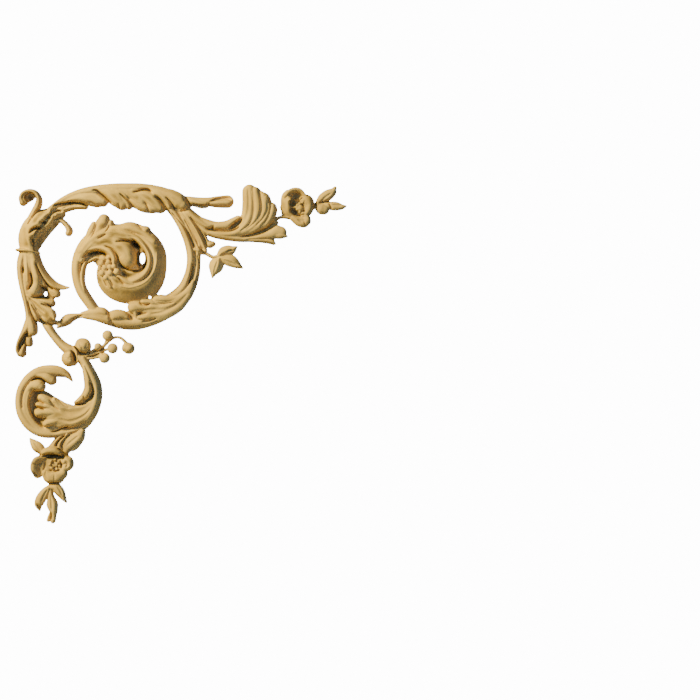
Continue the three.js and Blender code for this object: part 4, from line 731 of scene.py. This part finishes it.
stroke("flat", (30.4, 381.4, 2.4, 12.4), (24.8, 391, 2.8, 12.6), (22.6, 402, 2.8, 12.6),
        (24.4, 412.8, 2.8, 12.4), (29.6, 422, 2.8, 12), (37, 428.6, 2.6, 11.6))
stroke("flat", (33, 384, 4, 12), (27.8, 391.5, 3.6, 12.6), (25.6, 402, 3.3, 12.4),
        (27.5, 412.5, 3.2, 12), (32, 421, 3.1, 11.6), (39, 427.3, 3.2, 11), (48, 431, 2.6, 10))
stroke("roll", (35, 374.5, 4, 13), (45, 377, 5.4, 14.5), (51, 380.2, 5.2, 13.5))
stroke("crown", (27, 391, 4, 13), (31.5, 385.8, 5.6, 15.5), (37.4, 385.4, 6.2, 16.5),
        (39.6, 386.4, 5.6, 16))
stroke("flat", (73, 407.4, 2, 9.5), (80, 406, 3.4, 10), (87, 402.4, 3.6, 10), (92, 396, 3, 10))
stroke("flat", (37.6, 392.4, 2.2, 3.4), (43.6, 392.9, 2.2, 3.4), (49, 395.8, 2.2, 3.4),
        (53.4, 398.6, 1.8, 3.4))
stroke("flat", (30, 391, 3, 3.4), (36, 390.5, 4, 3.4), (34, 398, 4.8, 3.4), (32, 406, 5.4, 3.4),
        (34.5, 415, 5.4, 3.4), (40, 422.5, 5.4, 4), (50, 427, 5, 8), (62, 427, 4, 9))
stroke("flat", (93, 402, 5.4, 12.5), (86.4, 411.4, 8.4, 13), (76, 416.2, 10.4, 13.5),
        (65, 415.6, 12.2, 13.5), (55, 413, 12.6, 14), (49, 411.6, 10.6, 14))
stroke("crown", (60, 410, 3, 11), (53, 404.6, 5, 14.5), (45, 399.6, 5.6, 17),
        (42, 397.8, 4.8, 16.5))
stroke("crown", (65, 410.6, 2, 11), (58.6, 404.6, 3, 14.5), (54.6, 400.4, 2.9, 16),
        (54.2, 399.6, 2.6, 16))
stroke("flat", (76, 412, 3, 11), (67, 409, 4, 13), (59.6, 404.6, 4.2, 14), (56, 401.6, 3.4, 14))
stroke("crown", (60, 410.6, 2.6, 11), (48, 406.6, 3.6, 15), (40.6, 405, 3.2, 16.5),
        (37.8, 404.6, 2.7, 16))
stroke("crown", (62, 414.6, 2.6, 11), (50, 412.8, 4.6, 15.5), (41.4, 412.4, 5.2, 17),
        (38, 413, 4.8, 16.5))
stroke("crown", (68, 420, 2.6, 11), (57, 420.4, 4.4, 14), (48.4, 422.8, 4.2, 15),
        (45.8, 424, 3.5, 15))
stroke("round", (46, 429, 1.8, 9), (54, 430.5, 1.8, 10), (62, 428.3, 1.8, 10), (70, 425.8, 2, 10),
        (80, 421.5, 2.6, 11))
groove(7, (30.6, 381, 0.7), (35, 378.8, 1.2), (40, 378.8, 1.4), (44, 381.4, 1.4), (46, 384.6, 1.1))
groove(2.2, (30.4, 381.4, 0.8), (25.8, 386.6, 1.2), (22.8, 394, 1.2), (21.8, 402, 1),
        (22.4, 409, 0.7))
groove(11, (33.6, 391.6, 1), (37.6, 392.9, 1.9), (43, 392.9, 2.1), (48.6, 395.6, 1.6),
        (52.6, 398.6, 1))
groove(9, (37, 392.8, 1.4), (33.2, 398, 2.8), (31.6, 405, 2.7), (32.4, 412.4, 2.3), (36, 419.8, 2),
        (41.2, 425.8, 1.6), (45, 428.4, 0.9))
groove(5, (34.4, 402.2, 0.8), (37.4, 401.4, 1.2), (41, 402.4, 0.9), (44.6, 404.6, 0.5))
groove(5, (33.4, 408.2, 0.8), (36.8, 408, 1.2), (40.6, 408.6, 0.9), (45, 410, 0.5))
groove(6, (38, 419.6, 0.8), (41.6, 419.6, 1.4), (46.6, 418.2, 0.8))
groove(3.2, (49.6, 399.6, 0.8), (52.6, 404.6, 1.3), (56, 408, 1), (60, 410.6, 0.5))
groove(2, (57, 397.6, 0.9), (61, 402.4, 1.5), (66, 406.6, 1), (70, 408.6, 0.5))
groove(2.6, (60, 409.6, 2), (70, 412.6, 4.6), (82, 410, 4.2), (91, 402.6, 2))
groove(1.4, (58, 418.6, 1.4), (70, 421.4, 2.6), (83, 416.4, 2), (91, 408, 1.4))
groove(7, (51, 431.8, 0.8), (56, 431.4, 1.3), (61, 429, 1.2), (68.6, 426.4, 0.7))
groove(4, (62, 431, 1.2), (71, 428.6, 2.6), (79, 426.6, 3.4), (86.6, 422, 2.4))
groove(7, (89.6, 382, 0.7), (92.6, 388, 1.2), (92.4, 394.6, 1.4), (88.4, 400, 1.5), (82, 404, 1.4),
        (74, 405, 0.8))
groove(5, (83, 395.6, 0.8), (84, 398.6, 1.2), (82, 400.6, 0.8))
groove(3, (54.6, 380.6, 0.8), (57, 377, 1.5), (62, 377.6, 1.1), (70, 381.4, 0.7))
groove(-0.8, (66, 372.6, 0.6), (56, 368.6, 1), (45, 368, 1.1), (34, 370.8, 1), (24.6, 378, 0.8))
tally("hooked scroll")

# %% [markdown]
# A second flower hangs below the hook, and a spray of leaves ends the ornament.

# %% Lower flower and leaves
stroke("round", (66, 431, 3.6, 9.5), (59.5, 438, 4, 10), (54.4, 444.5, 4, 10),
        (50, 450.6, 4.6, 10))
stroke("flat", (58, 436, 3, 6), (64, 440, 5, 6), (60, 448, 6, 6))
stroke("flat", (66, 433, 3.4, 6.5), (71, 435, 3.4, 6.5), (76, 434, 3, 6.5))
stroke("crown", (81.6, 431, 3.4, 9.5), (78.6, 436.6, 6, 11.5), (72.4, 442.6, 7.8, 12),
        (67.4, 447.4, 6.6, 11.5), (65.6, 451, 3.8, 10.5))
stroke("round", (67, 434, 1.4, 10.5), (60.6, 441, 2, 11.5), (59, 446, 2.4, 11.5),
        (62, 451.4, 2.2, 11), (66.5, 456.4, 2, 10))
stroke("crown", (42, 454, 3, 9), (39.4, 449.6, 5.2, 10), (35.4, 445.8, 5.2, 10),
        (31.8, 442, 3.2, 8.5), (29.2, 438.8, 0.8, 6.5))
stroke("flat", (44, 465.6, 9, 8.6), (52, 466, 11, 8.6), (60, 465, 8, 8.6))
stroke("flat", (42, 457, 5, 7.5), (50, 457, 5, 7.5), (61, 457, 5, 7.5))
stroke("crown", (42.6, 453.4, 2.6, 13), (47.6, 450.8, 4, 15), (54, 450.7, 4.4, 15.5),
        (60, 452.6, 3.7, 14), (63, 455, 2.6, 12))
stroke("fallleft", (44, 459, 3.2, 12), (38, 461.6, 5.6, 13.6), (36, 468, 6, 13.6),
        (37.4, 474, 4.6, 12.6))
stroke("crown", (44.6, 472.6, 4.4, 12.5), (49.4, 476.4, 7.4, 14), (56, 476.8, 8, 14.5),
        (61.4, 474, 5.6, 13.5))
stroke("crown", (61, 460.6, 4.2, 12.5), (66, 461.4, 6, 14), (67.6, 465, 5.6, 14),
        (64, 468.6, 4.4, 12.5))
stroke("round", (52, 481, 3, 9), (50.5, 486, 3, 8.5), (49.5, 491, 2.4, 8))
stroke("crown", (49, 487, 2.4, 9), (44.5, 492.3, 4.4, 10.5), (40.2, 499, 5.2, 10.5),
        (38, 505, 4.2, 9.5), (38.8, 510.3, 1.2, 7))
stroke("crown", (50, 487, 3, 9), (55, 487.4, 4.6, 11), (59.4, 492.6, 4.8, 11),
        (63, 498.5, 2.8, 9), (65.6, 502.6, 0.9, 7))
stroke("crown", (49.7, 490, 2, 8), (50.3, 497, 3.4, 10), (51.6, 504.5, 5.8, 11),
        (52.8, 511, 4.3, 10.5), (52.8, 516, 3, 9.5), (52.6, 519.5, 2.9, 9), (52.2, 521.6, 2.4, 8))
stroke("round", (50, 513, 1.5, 6), (48.4, 517.5, 1.9, 6.5), (47.6, 520.6, 2, 6))
groove(6, (55, 446.6, 0.9), (56.6, 443, 1.6), (60, 439.4, 1.4), (65, 435.4, 0.9))
groove(6, (57, 448, 0.7), (60.6, 450.6, 1.2), (65.6, 455, 1), (69, 457.6, 0.7))
groove(8, (41, 456.8, 1), (47, 456.4, 2.3), (54, 456.8, 2.6), (60, 457.6, 2.4), (64, 458.6, 1))
groove(6, (60.6, 452.6, 0.7), (63.4, 456.6, 1.4), (62, 460, 1))
groove(1.8, (42, 464, 0.9), (37, 464.6, 1.6), (31.6, 463.4, 0.9))
groove(6, (32.6, 471.6, 0.9), (35, 475, 2), (39, 478.2, 1.1))
groove(4.6, (51.6, 460, 1.6), (55, 464.8, 4.4), (55, 469.4, 2))
groove(2.4, (44.6, 461, 0.9), (44.6, 466, 1.4), (42.6, 472, 1.1))
groove(1, (54.4, 473, 1), (54.8, 482, 1.8))
groove(1.4, (46, 470.6, 0.8), (45.4, 475.6, 1.3), (47.4, 480.4, 0.9))
groove(3, (64.6, 460, 0.9), (67.4, 464, 2), (66, 468, 0.9))
groove(4, (60, 459.6, 0.8), (60.8, 464, 1.2), (61, 469, 0.9))
groove(4, (48.6, 470.4, 0.8), (54, 471.6, 1.2), (60, 470, 0.9))
groove(7, (46, 484.2, 0.9), (50.6, 483.6, 1.5), (56, 483.4, 1.5), (59.6, 482, 0.9))
groove(1.3, (66, 446, 1), (72, 441, 2), (78.6, 435.6, 1.3))
groove(1.8, (68, 451, 0.9), (75, 445.6, 1.5), (81, 439.6, 1))
groove(1.5, (33, 442.6, 0.8), (37.4, 447.4, 1.7), (41.6, 451.6, 1))
groove(5, (34.6, 451.6, 0.8), (38, 454, 1.4), (41, 457, 0.9))
groove(1.6, (47.4, 489.4, 0.9), (43.4, 496, 1.8), (40.4, 503, 1.2))
groove(5, (36, 503.6, 0.9), (38.4, 507.4, 1.8), (40.4, 510.4, 0.8))
groove(4, (53.6, 492.6, 0.7), (57, 496, 1.4), (60.6, 498.6, 0.8))
groove(1.5, (50, 495, 0.8), (51.4, 503, 1.7), (51.6, 511, 1.2))
groove(6, (50.6, 512, 0.8), (50.8, 516.6, 1.4), (50.4, 520.6, 0.9))
groove(1.4, (56.6, 486, 0.9), (60, 490.6, 1.6), (62.2, 496, 1))
tally("lower flower")

# %% [markdown]
# Berries and seeds are balls. One ball is modelled by hand, an ico sphere whose lower half is cut
# off, and each berry is a copy of it. Their rims are drawn straight down to the back later, with
# those of the strokes, as a casting has no undercuts.

# %% Berries and seeds
BERRY, GRAPE, SEED = 5.3, 2.75, 1.8
BALLS = [
    (107, 335.4, BERRY, 10.5), (97.4, 346.6, BERRY * 0.7, 10), (112, 348.4, BERRY, 11),
    (104, 358, BERRY, 11),
    (104, 258.8, GRAPE * 0.95, 18), (108.5, 262.5, GRAPE * 0.95, 20), (101.5, 263.8, GRAPE, 18),
    (105.3, 267.6, GRAPE, 20.5), (110.3, 267.3, GRAPE, 21), (99.6, 269, GRAPE * 0.9, 18),
    (102.4, 273.2, GRAPE * 1.1, 21), (110.3, 273, GRAPE * 1.1, 22.5),
    (117.2, 271.8, GRAPE * 1.2, 23),
    (106.3, 277.8, GRAPE, 21.5), (114.3, 266.6, GRAPE * 0.9, 21.5),
    (108.3, 257.8, GRAPE * 0.75, 19),
    (301, 207.8, SEED * 1.8, 12.5), (297.4, 205, SEED * 0.83, 11),
    (297.2, 209.2, SEED * 0.83, 10.5),
    (299.8, 211.8, SEED * 0.78, 11), (299.8, 203.4, SEED * 0.72, 11.5),
    (302.6, 202.4, SEED * 0.67, 12),
    (55.4, 214.8, SEED * 1.2, 14), (50.2, 208.6, SEED, 14),
    (54.8, 464.6, SEED * 1.5, 13.5), (51.2, 461.6, SEED * 0.75, 13),
    (54.8, 459.8, SEED * 0.7, 12.5),
    (58.6, 461.8, SEED * 0.78, 12.5), (59.4, 466, SEED * 0.72, 12.5), (56.4, 469, SEED * 0.78, 13),
    (51.8, 468, SEED * 0.78, 13), (49.8, 464.6, SEED * 0.67, 12.5),
]


def model_ball():
    bpy.ops.object.select_all(action="DESELECT")
    bpy.ops.mesh.primitive_ico_sphere_add(subdivisions=4, radius=1)
    ball = bpy.context.object
    bpy.ops.object.mode_set(mode="EDIT")
    bpy.ops.mesh.select_all(action="SELECT")
    bpy.ops.mesh.bisect(plane_co=(0, 0, 0), plane_no=(0, 0, 1), use_fill=False, clear_inner=True)
    bpy.ops.object.mode_set(mode="OBJECT")
    return ball


def cast_balls(ball):
    """Copies of the half ball, each at its own place, size and height."""
    source = ball.data
    made = []
    for x, y, radius, top in BALLS:
        mesh = source.copy()
        copy = bpy.data.objects.new("berry", mesh)
        bpy.context.collection.objects.link(copy)
        dome = np.array([vertex.co for vertex in source.vertices])
        centre = top - radius
        placed = in_place(x + dome[:, 0] * radius, y - dome[:, 1] * radius,
                          centre + dome[:, 2] * radius)
        mesh.vertices.foreach_set("co", placed.ravel())
        made.append(copy)
    bpy.data.objects.remove(ball)
    return made


berries = cast_balls(model_ball())
print(len(berries), "berries and seeds")

# %% [markdown]
# Now the grids become solids. Each grid was kept as an array of points, so one plane primitive
# per stroke would do, but a hundred and fifty operator calls are slow. The faces are written in
# mesh code instead, all strips and half balls are joined, and one extrude draws the whole skin
# down to the flat back. The strokes still lie through one another, as clay does before it is
# pressed together.

# %% Strips and balls in one mesh, drawn down to the back
def strip_object(points):
    along, across = points.shape[:2]
    corner = np.arange(along * across).reshape(along, across)
    faces = np.stack([corner[:-1, :-1], corner[1:, :-1], corner[1:, 1:], corner[:-1, 1:]], -1)
    faces = faces.reshape(-1, 4)
    mesh = bpy.data.meshes.new("stroke")
    mesh.from_pydata(points.reshape(-1, 3).tolist(), [], faces.tolist())
    strip = bpy.data.objects.new("stroke", mesh)
    bpy.context.collection.objects.link(strip)
    return strip


bpy.ops.object.select_all(action="DESELECT")
parts = [strip_object(points) for points in strips] + berries
for part in parts:
    part.select_set(True)
bpy.context.view_layer.objects.active = parts[0]
bpy.ops.object.join()
carving = bpy.context.object
carving.name = "carved_spandrel"
bpy.ops.object.mode_set(mode="EDIT")
bpy.ops.mesh.select_all(action="SELECT")
bpy.ops.mesh.extrude_region_move(TRANSFORM_OT_translate={"value": (0, 0, 0)})
bpy.ops.transform.resize(value=(1, 0, 1), center_override=(0, 0, 0))
bpy.ops.mesh.select_all(action="SELECT")
bpy.ops.mesh.normals_make_consistent(inside=False)
bpy.ops.object.mode_set(mode="OBJECT")
print("strokes", len(strips), "faces", len(carving.data.polygons))

# %% [markdown]
# A voxel remesh melts the overlapping forms into one skin, which is what plaster or compound
# does in a mould. A union by boolean would keep every sharp join. The voxel is under half a
# millimetre, about the size of the finest mark that shows.

# %% One skin
VOXEL = 0.00042


def apply(kind, **values):
    modifier = carving.modifiers.new(kind.lower(), kind)
    for name, value in values.items():
        setattr(modifier, name, value)
    bpy.ops.object.modifier_apply(modifier=modifier.name)


apply("REMESH", mode="VOXEL", voxel_size=VOXEL, adaptivity=0.0)
print("one skin of", len(carving.data.polygons), "faces")

# %% [markdown]
# Three small places have to be cut right through: the eye of the boss, a gap in the corner stalk
# and a pinhole under the boss. Each is cut with an oval bar by a boolean, while the skin is still
# one closed surface.

# %% Openings
OPENINGS = [(142, 258.3, 2.7, 5.6), (45, 293.8, 1.8, 2.4), (149.5, 297.3, 1.6, 1.4)]
BAR_SIDES = 40
BAR_LENGTH = 0.06
for x, y, half_wide, half_high in OPENINGS:
    place = in_place(np.float64(x), np.float64(y), np.float64(12))
    bpy.ops.mesh.primitive_cylinder_add(vertices=BAR_SIDES, radius=1, depth=BAR_LENGTH,
                                        location=place, rotation=(math.pi / 2, 0, 0))
    bar = bpy.context.object
    bar.scale = (half_wide * SQUARE, half_high * SQUARE, 1)
    bpy.context.view_layer.objects.active = carving
    apply("BOOLEAN", object=bar, operation="DIFFERENCE", solver="MANIFOLD")
    bpy.data.objects.remove(bar)
print("after the openings", len(carving.data.polygons), "faces")


def points_of(mesh):
    points = np.empty(len(mesh.vertices) * 3, np.float32)
    mesh.vertices.foreach_get("co", points)
    return points.reshape(-1, 3).astype(float)


def put_points(points):
    carving.data.vertices.foreach_set("co", points.astype(np.float32).ravel())
    carving.data.update()


def on_drawing(points):
    return (points[:, 0] / SQUARE + BOSS_X, BOSS_Y - points[:, 2] / SQUARE, -points[:, 1] / RISE)


# %% [markdown]
# Now the grooves that were kept. On the real ornament they are the gouge's last, narrow cuts, and
# they stay dark. A cut could be a boolean of a thin bar, but its walls would be hard. Here every
# point of the skin near a groove sinks by a narrow bell across it, and a little by a wider one,
# so that the forms beside it round off into it. Each groove starts and ends softly.

# %% Grooves and ribs
SHOULDER = 2.2
SHARP_SHARE, SOFT_SHARE = 0.8, 0.2
GROOVE_STEP = 0.3
RAMP = 2.0
THINNEST_FLOOR = 1.5
SMOOTH_SHARE, SMOOTH_ROUNDS = 0.5, 3


def along_groove(points):
    rows = along_curve(points, 12)
    run = np.concatenate([[0], np.cumsum(np.linalg.norm(np.diff(rows[:, :2], axis=0), axis=1))])
    even = np.linspace(0, run[-1], int(run[-1] / GROOVE_STEP) + 2)
    rows = np.stack([np.interp(even, run, column) for column in rows.T], -1)
    ramp = np.clip(np.minimum(even, run[-1] - even) / (RAMP * rows[:, 2].max()), 0, 1)
    return rows, ramp * (2 - ramp)


def carve(x, y, height):
    for depth, points in grooves:
        rows, full = along_groove(points)
        reach = rows[:, 2].max() + SHOULDER
        inside = (np.abs(x - rows[:, 0].mean()) < np.ptp(rows[:, 0]) + reach) & (height > 1)
        inside &= (np.abs(y - rows[:, 1].mean()) < np.ptp(rows[:, 1]) + reach)
        near = np.nonzero(inside)[0]
        far = (x[near, None] - rows[:, 0]) ** 2 + (y[near, None] - rows[:, 1]) ** 2
        sharp = np.clip(1 - far / rows[:, 2] ** 2, 0, 1) ** 2
        soft = np.clip(1 - far / (rows[:, 2] + SHOULDER) ** 2, 0, 1) ** 2
        bite = (full * (SHARP_SHARE * sharp + SOFT_SHARE * soft)).max(1)
        lowest = np.minimum(height[near], THINNEST_FLOOR)
        height[near] = np.maximum(height[near] - depth * bite, lowest)
    return height


x, y, height = on_drawing(points_of(carving.data))
put_points(in_place(x, y, np.minimum(carve(x, y, height), RELIEF_SQUARES)))
apply("SMOOTH", factor=SMOOTH_SHARE, iterations=SMOOTH_ROUNDS)
print(len(grooves), "grooves and ribs")

# %% [markdown]
# The back is flat on the real casting, and smoothing has rounded it a little, so what lies close
# to the back plane is pressed onto it again. Then the whole is drawn in to the solid's box.

# %% Flat back
BACK_BAND = 0.6
x, y, height = on_drawing(points_of(carving.data))
height = np.where(height < BACK_BAND, 0, height)
low, high = np.array(cad_box[0]), np.array(cad_box[1])
put_points(np.clip(in_place(x, y, np.minimum(height, RELIEF_SQUARES)), low, high))
print("points on the back", int((height == 0).sum()))

# %% [markdown]
# The mesh is now finer than the library allows for one piece, so a collapse decimation brings it
# under 200,000 triangles. It keeps edges where the surface bends and thins the flat back. A
# collapse can push a point out by a hair, so the points are drawn in to the box once more.

# %% Fewer triangles
TRIANGLES = 192000
apply("TRIANGULATE")
apply("DECIMATE", ratio=min(1, TRIANGLES / len(carving.data.polygons)))
put_points(np.clip(points_of(carving.data), low, high))
print("triangles", len(carving.data.polygons))

# %% [markdown]
# The brown in the hollows follows the form, so the mesh carries numbers for the finish. It is
# partly a brown patina and partly painted shade, which darkens the gouge lines and pits where
# shadow falls. A height map of the carving is blurred with a near and a far reach. One number says
# how far a point lies below the near average, as in a gouge line, and the other how far the near
# average lies below the far one, as in a wide pit.

# %% How deep each point lies
MAP_STEP = 0.5
MAP_BORDER = 24
NEAR_REACH, FAR_REACH = 1.6, 4.5
FULL_GOUGE = 4.5
PIT_STARTS, PIT_RISE = 0.8, 2.6
ABOVE_BACK = 0.3


def blurred(field, reach):
    """Three running averages along each axis come close to a round blur."""
    size = max(1, int(round(reach / MAP_STEP)))
    for axis in (0, 1):
        border = [(size + 1, size) if a == axis else (0, 0) for a in (0, 1)]
        for _ in range(3):
            total = np.cumsum(np.pad(field, border, mode="edge"), axis=axis)
            ahead = np.take(total, range(2 * size + 1, total.shape[axis]), axis)
            behind = np.take(total, range(0, total.shape[axis] - 2 * size - 1), axis)
            field = (ahead - behind) / (2 * size + 1)
    return field


def recess_shade_masks(points):
    x, y, height = on_drawing(points)
    columns = ((x - x.min()) / MAP_STEP).astype(int) + MAP_BORDER
    rows = ((y - y.min()) / MAP_STEP).astype(int) + MAP_BORDER
    tallest = np.zeros((rows.max() + MAP_BORDER + 1, columns.max() + MAP_BORDER + 1))
    np.maximum.at(tallest, (rows, columns), height)
    near = blurred(tallest, NEAR_REACH)[rows, columns]
    far = blurred(tallest, FAR_REACH)[rows, columns]
    gouged = np.clip((near - height) / FULL_GOUGE, 0, 1)
    return gouged, np.clip((far - near - PIT_STARTS) / PIT_RISE, 0, 1)


def keep_number(name, values):
    layer = carving.data.attributes.new(name, "FLOAT", "POINT")
    layer.data.foreach_set("value", values.astype(np.float32))


points = points_of(carving.data)
gouge_shade_mask, pit_shade_mask = recess_shade_masks(points)
front = on_drawing(points)[2] > ABOVE_BACK
# Gouge lines: a brown patina and painted shade along the narrow cuts.
keep_number("gouge_shade_and_patina", np.where(front, gouge_shade_mask, 0))
# Wide pits: painted shade, near black, over a little brown patina.
keep_number("pit_shade_and_patina", np.where(front, pit_shade_mask, 0))
print("mean hollow", round(float(gouge_shade_mask.mean()), 3), "pit_shade_and_patina", round(float(pit_shade_mask.mean()), 3))

# %% [markdown]
# A third number marks where the carving is browner: both flowers, the curl of the finial, the end
# of the tail and a place under the boss. It is partly a brown patina and partly painted shade on
# these deep, shaded parts.

# %% Where it is browner, with painted shade
BROWNED_AND_SHADED_PLACES = [(298, 206, 16), (53, 464, 20), (22, 346, 12), (56, 448, 14), (26, 198, 10),
               (118, 300, 14)]
x, y, _ = on_drawing(points)
browned_and_shaded = np.zeros(len(points))
for place_x, place_y, reach in BROWNED_AND_SHADED_PLACES:
    browned_and_shaded = np.maximum(browned_and_shaded, np.exp(-((x - place_x) ** 2 + (y - place_y) ** 2) / reach ** 2))
keep_number("browned_and_shaded", browned_and_shaded)
print("aged places", len(BROWNED_AND_SHADED_PLACES))

# %% [markdown]
# Two effects make the finish, each a node group with its own named inputs. The first lays a brown
# over a colour by a mask that is broken up by noise, so that the brown doesn't end in a clean
# line.
# It carries both the brown patina and the painted shade of the hollows, pits and shaded parts.

# %% Group: patina and painted shade
SPOT_SIZE = 260.0


def new_group(name, inputs, outputs):
    group = bpy.data.node_groups.new(name, "ShaderNodeTree")
    for label, kind, default in inputs:
        socket = group.interface.new_socket(label, in_out="INPUT", socket_type=kind)
        if default is not None:
            socket.default_value = default
    for label, kind in outputs:
        group.interface.new_socket(label, in_out="OUTPUT", socket_type=kind)
    return group, group.nodes.new("NodeGroupInput"), group.nodes.new("NodeGroupOutput")


def noise(tree, scale, detail=3.0, roughness=0.55):
    node = tree.nodes.new("ShaderNodeTexNoise")
    node.inputs["Scale"].default_value = scale
    node.inputs["Detail"].default_value = detail
    node.inputs["Roughness"].default_value = roughness
    return node


def maths(tree, operation, a, b, clamp=False):
    node = tree.nodes.new("ShaderNodeMath")
    node.operation = operation
    node.use_clamp = clamp
    for socket, value in zip(node.inputs, (a, b)):
        if hasattr(value, "is_linked"):
            tree.links.new(value, socket)
        else:
            socket.default_value = value
    return node.outputs[0]


def mixed(tree, share, first, second):
    node = tree.nodes.new("ShaderNodeMix")
    node.data_type = "RGBA"
    sockets = (node.inputs[0], node.inputs[6], node.inputs[7])
    for socket, value in zip(sockets, (share, first, second)):
        if hasattr(value, "is_linked"):
            tree.links.new(value, socket)
        else:
            socket.default_value = value
    return node.outputs[2]


patina_shade_group, given, made = new_group("patina_and_shade_stain", [
    ("Color", "NodeSocketColor", None), ("Stain", "NodeSocketColor", None),
    ("Mask", "NodeSocketFloat", 0.0), ("Strength", "NodeSocketFloat", 1.0),
    ("Vector", "NodeSocketVector", None), ("Break Up", "NodeSocketFloat", 0.3),
], [("Color", "NodeSocketColor")])
spots = noise(patina_shade_group, SPOT_SIZE)
patina_shade_group.links.new(given.outputs["Vector"], spots.inputs["Vector"])
centred = maths(patina_shade_group, "SUBTRACT", spots.outputs[0], 0.5)
broken = maths(patina_shade_group, "MULTIPLY", centred, given.outputs["Break Up"])
edge = maths(patina_shade_group, "MULTIPLY", given.outputs["Mask"], given.outputs["Strength"])
share = maths(patina_shade_group, "ADD", edge, maths(patina_shade_group, "MULTIPLY", broken, edge), clamp=True)
patina_and_shade_mix = mixed(patina_shade_group, share, given.outputs["Color"], given.outputs["Stain"])
patina_shade_group.links.new(patina_and_shade_mix, made.inputs["Color"])
print("group", patina_shade_group.name, "of", len(patina_shade_group.nodes), "nodes")

# %% [markdown]
# The second group is the body of the material: a soft mottle in the tan, and fine pores that
# serve as bump and as small changes of roughness.

# %% Group: cast body
MOTTLE_SIZE, PORE_SIZE = 45.0, 900.0
MOTTLE_GAIN, MOTTLE_DROP = 2.2, -0.6
MOTTLE_IN_BUMP = 0.6
ROUGHNESS_RANGE, ROUGHNESS_LEAST = 0.18, 0.72
body, given, made = new_group("cast_body", [
    ("Light", "NodeSocketColor", None), ("Dark", "NodeSocketColor", None),
    ("Vector", "NodeSocketVector", None), ("Mottle Size", "NodeSocketFloat", MOTTLE_SIZE),
    ("Pore Size", "NodeSocketFloat", PORE_SIZE),
], [("Color", "NodeSocketColor"), ("Height", "NodeSocketFloat"), ("Roughness", "NodeSocketFloat")])
mottle = noise(body, MOTTLE_SIZE, 4.0)
pores = noise(body, PORE_SIZE, 2.0)
for node, size in ((mottle, "Mottle Size"), (pores, "Pore Size")):
    body.links.new(given.outputs["Vector"], node.inputs["Vector"])
    body.links.new(given.outputs[size], node.inputs["Scale"])
cloud = maths(body, "MULTIPLY_ADD", mottle.outputs[0], MOTTLE_GAIN, clamp=True)
cloud.node.inputs[2].default_value = MOTTLE_DROP
tint = mixed(body, cloud, given.outputs["Dark"], given.outputs["Light"])
body.links.new(tint, made.inputs["Color"])
waves = maths(body, "MULTIPLY", mottle.outputs[0], MOTTLE_IN_BUMP)
body.links.new(maths(body, "ADD", waves, pores.outputs[0]), made.inputs["Height"])
rough = maths(body, "MULTIPLY_ADD", pores.outputs[0], ROUGHNESS_RANGE)
rough.node.inputs[2].default_value = ROUGHNESS_LEAST
body.links.new(rough, made.inputs["Roughness"])
print("group", body.name, "of", len(body.nodes), "nodes")

# %% [markdown]
# The material puts the groups together: the tan body, browner in the flowers and curls, darkest in
# the wide pits, and brown along the gouge lines. These browns are partly patina and partly painted
# shade.

# %% Material
BUMP_STRENGTH, BUMP_DISTANCE = 0.25, 0.0003
GLOSS = 0.12
FACET_ANGLE = 50


def paint(red, green, blue):
    """A colour as the eye reads it, 0 to 255, brought to the linear values that shaders use."""
    values = [v / 255 for v in (red, green, blue)]
    return [v / 12.92 if v < 0.04045 else ((v + 0.055) / 1.055) ** 2.4 for v in values] + [1]


finish = bpy.data.materials.new("carved_compound")
finish.use_nodes = True
tree = finish.node_tree
shader = tree.nodes["Principled BSDF"]


def placed(group, **values):
    node = tree.nodes.new("ShaderNodeGroup")
    node.node_tree = group
    for name, value in values.items():
        socket = node.inputs[name.replace("_", " ")]
        if hasattr(value, "is_linked"):
            tree.links.new(value, socket)
        else:
            socket.default_value = value
    return node


def number(name):
    node = tree.nodes.new("ShaderNodeAttribute")
    node.attribute_name = name
    return node.outputs["Fac"]


where = tree.nodes.new("ShaderNodeTexCoord").outputs["Object"]
tan = placed(body, Light=paint(208, 177, 106), Dark=paint(176, 145, 84), Vector=where)
# Browner in the flowers, curls and under the boss: partly patina, partly painted shade.
browned_and_shaded_tint = placed(patina_shade_group, Color=tan.outputs["Color"], Stain=paint(120, 96, 56), Mask=number("browned_and_shaded"),
             Strength=0.4, Vector=where, Break_Up=1.2)
# Near black in the wide pits: painted shade, as a deep pit would hold it, with some brown patina.
pit_shade_and_patina = placed(patina_shade_group, Color=browned_and_shaded_tint.outputs["Color"], Stain=paint(62, 46, 26), Mask=number("pit_shade_and_patina"),
              Strength=0.9, Vector=where, Break_Up=0.6)
# Brown along the gouge lines, partly patina and partly painted shade where shadow falls in them.
gouge_shade_tint = placed(patina_shade_group, Color=pit_shade_and_patina.outputs["Color"], Stain=paint(124, 103, 64), Mask=number("gouge_shade_and_patina"),
              Strength=0.75, Vector=where, Break_Up=0.6)
tree.links.new(gouge_shade_tint.outputs["Color"], shader.inputs["Base Color"])
tree.links.new(tan.outputs["Roughness"], shader.inputs["Roughness"])
bump = tree.nodes.new("ShaderNodeBump")
bump.inputs["Strength"].default_value = BUMP_STRENGTH
bump.inputs["Distance"].default_value = BUMP_DISTANCE
tree.links.new(tan.outputs["Height"], bump.inputs["Height"])
tree.links.new(bump.outputs["Normal"], shader.inputs["Normal"])
shader.inputs["Specular IOR Level"].default_value = GLOSS

carving.data.materials.clear()
carving.data.materials.append(finish)
bpy.ops.object.select_all(action="DESELECT")
carving.select_set(True)
bpy.context.view_layer.objects.active = carving
bpy.ops.object.shade_smooth_by_angle(angle=math.radians(FACET_ANGLE))
print("material", finish.name, "of", len(tree.nodes), "nodes")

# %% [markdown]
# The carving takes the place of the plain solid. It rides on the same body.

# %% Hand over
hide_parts("spandrel_casting")
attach(carving, "root")
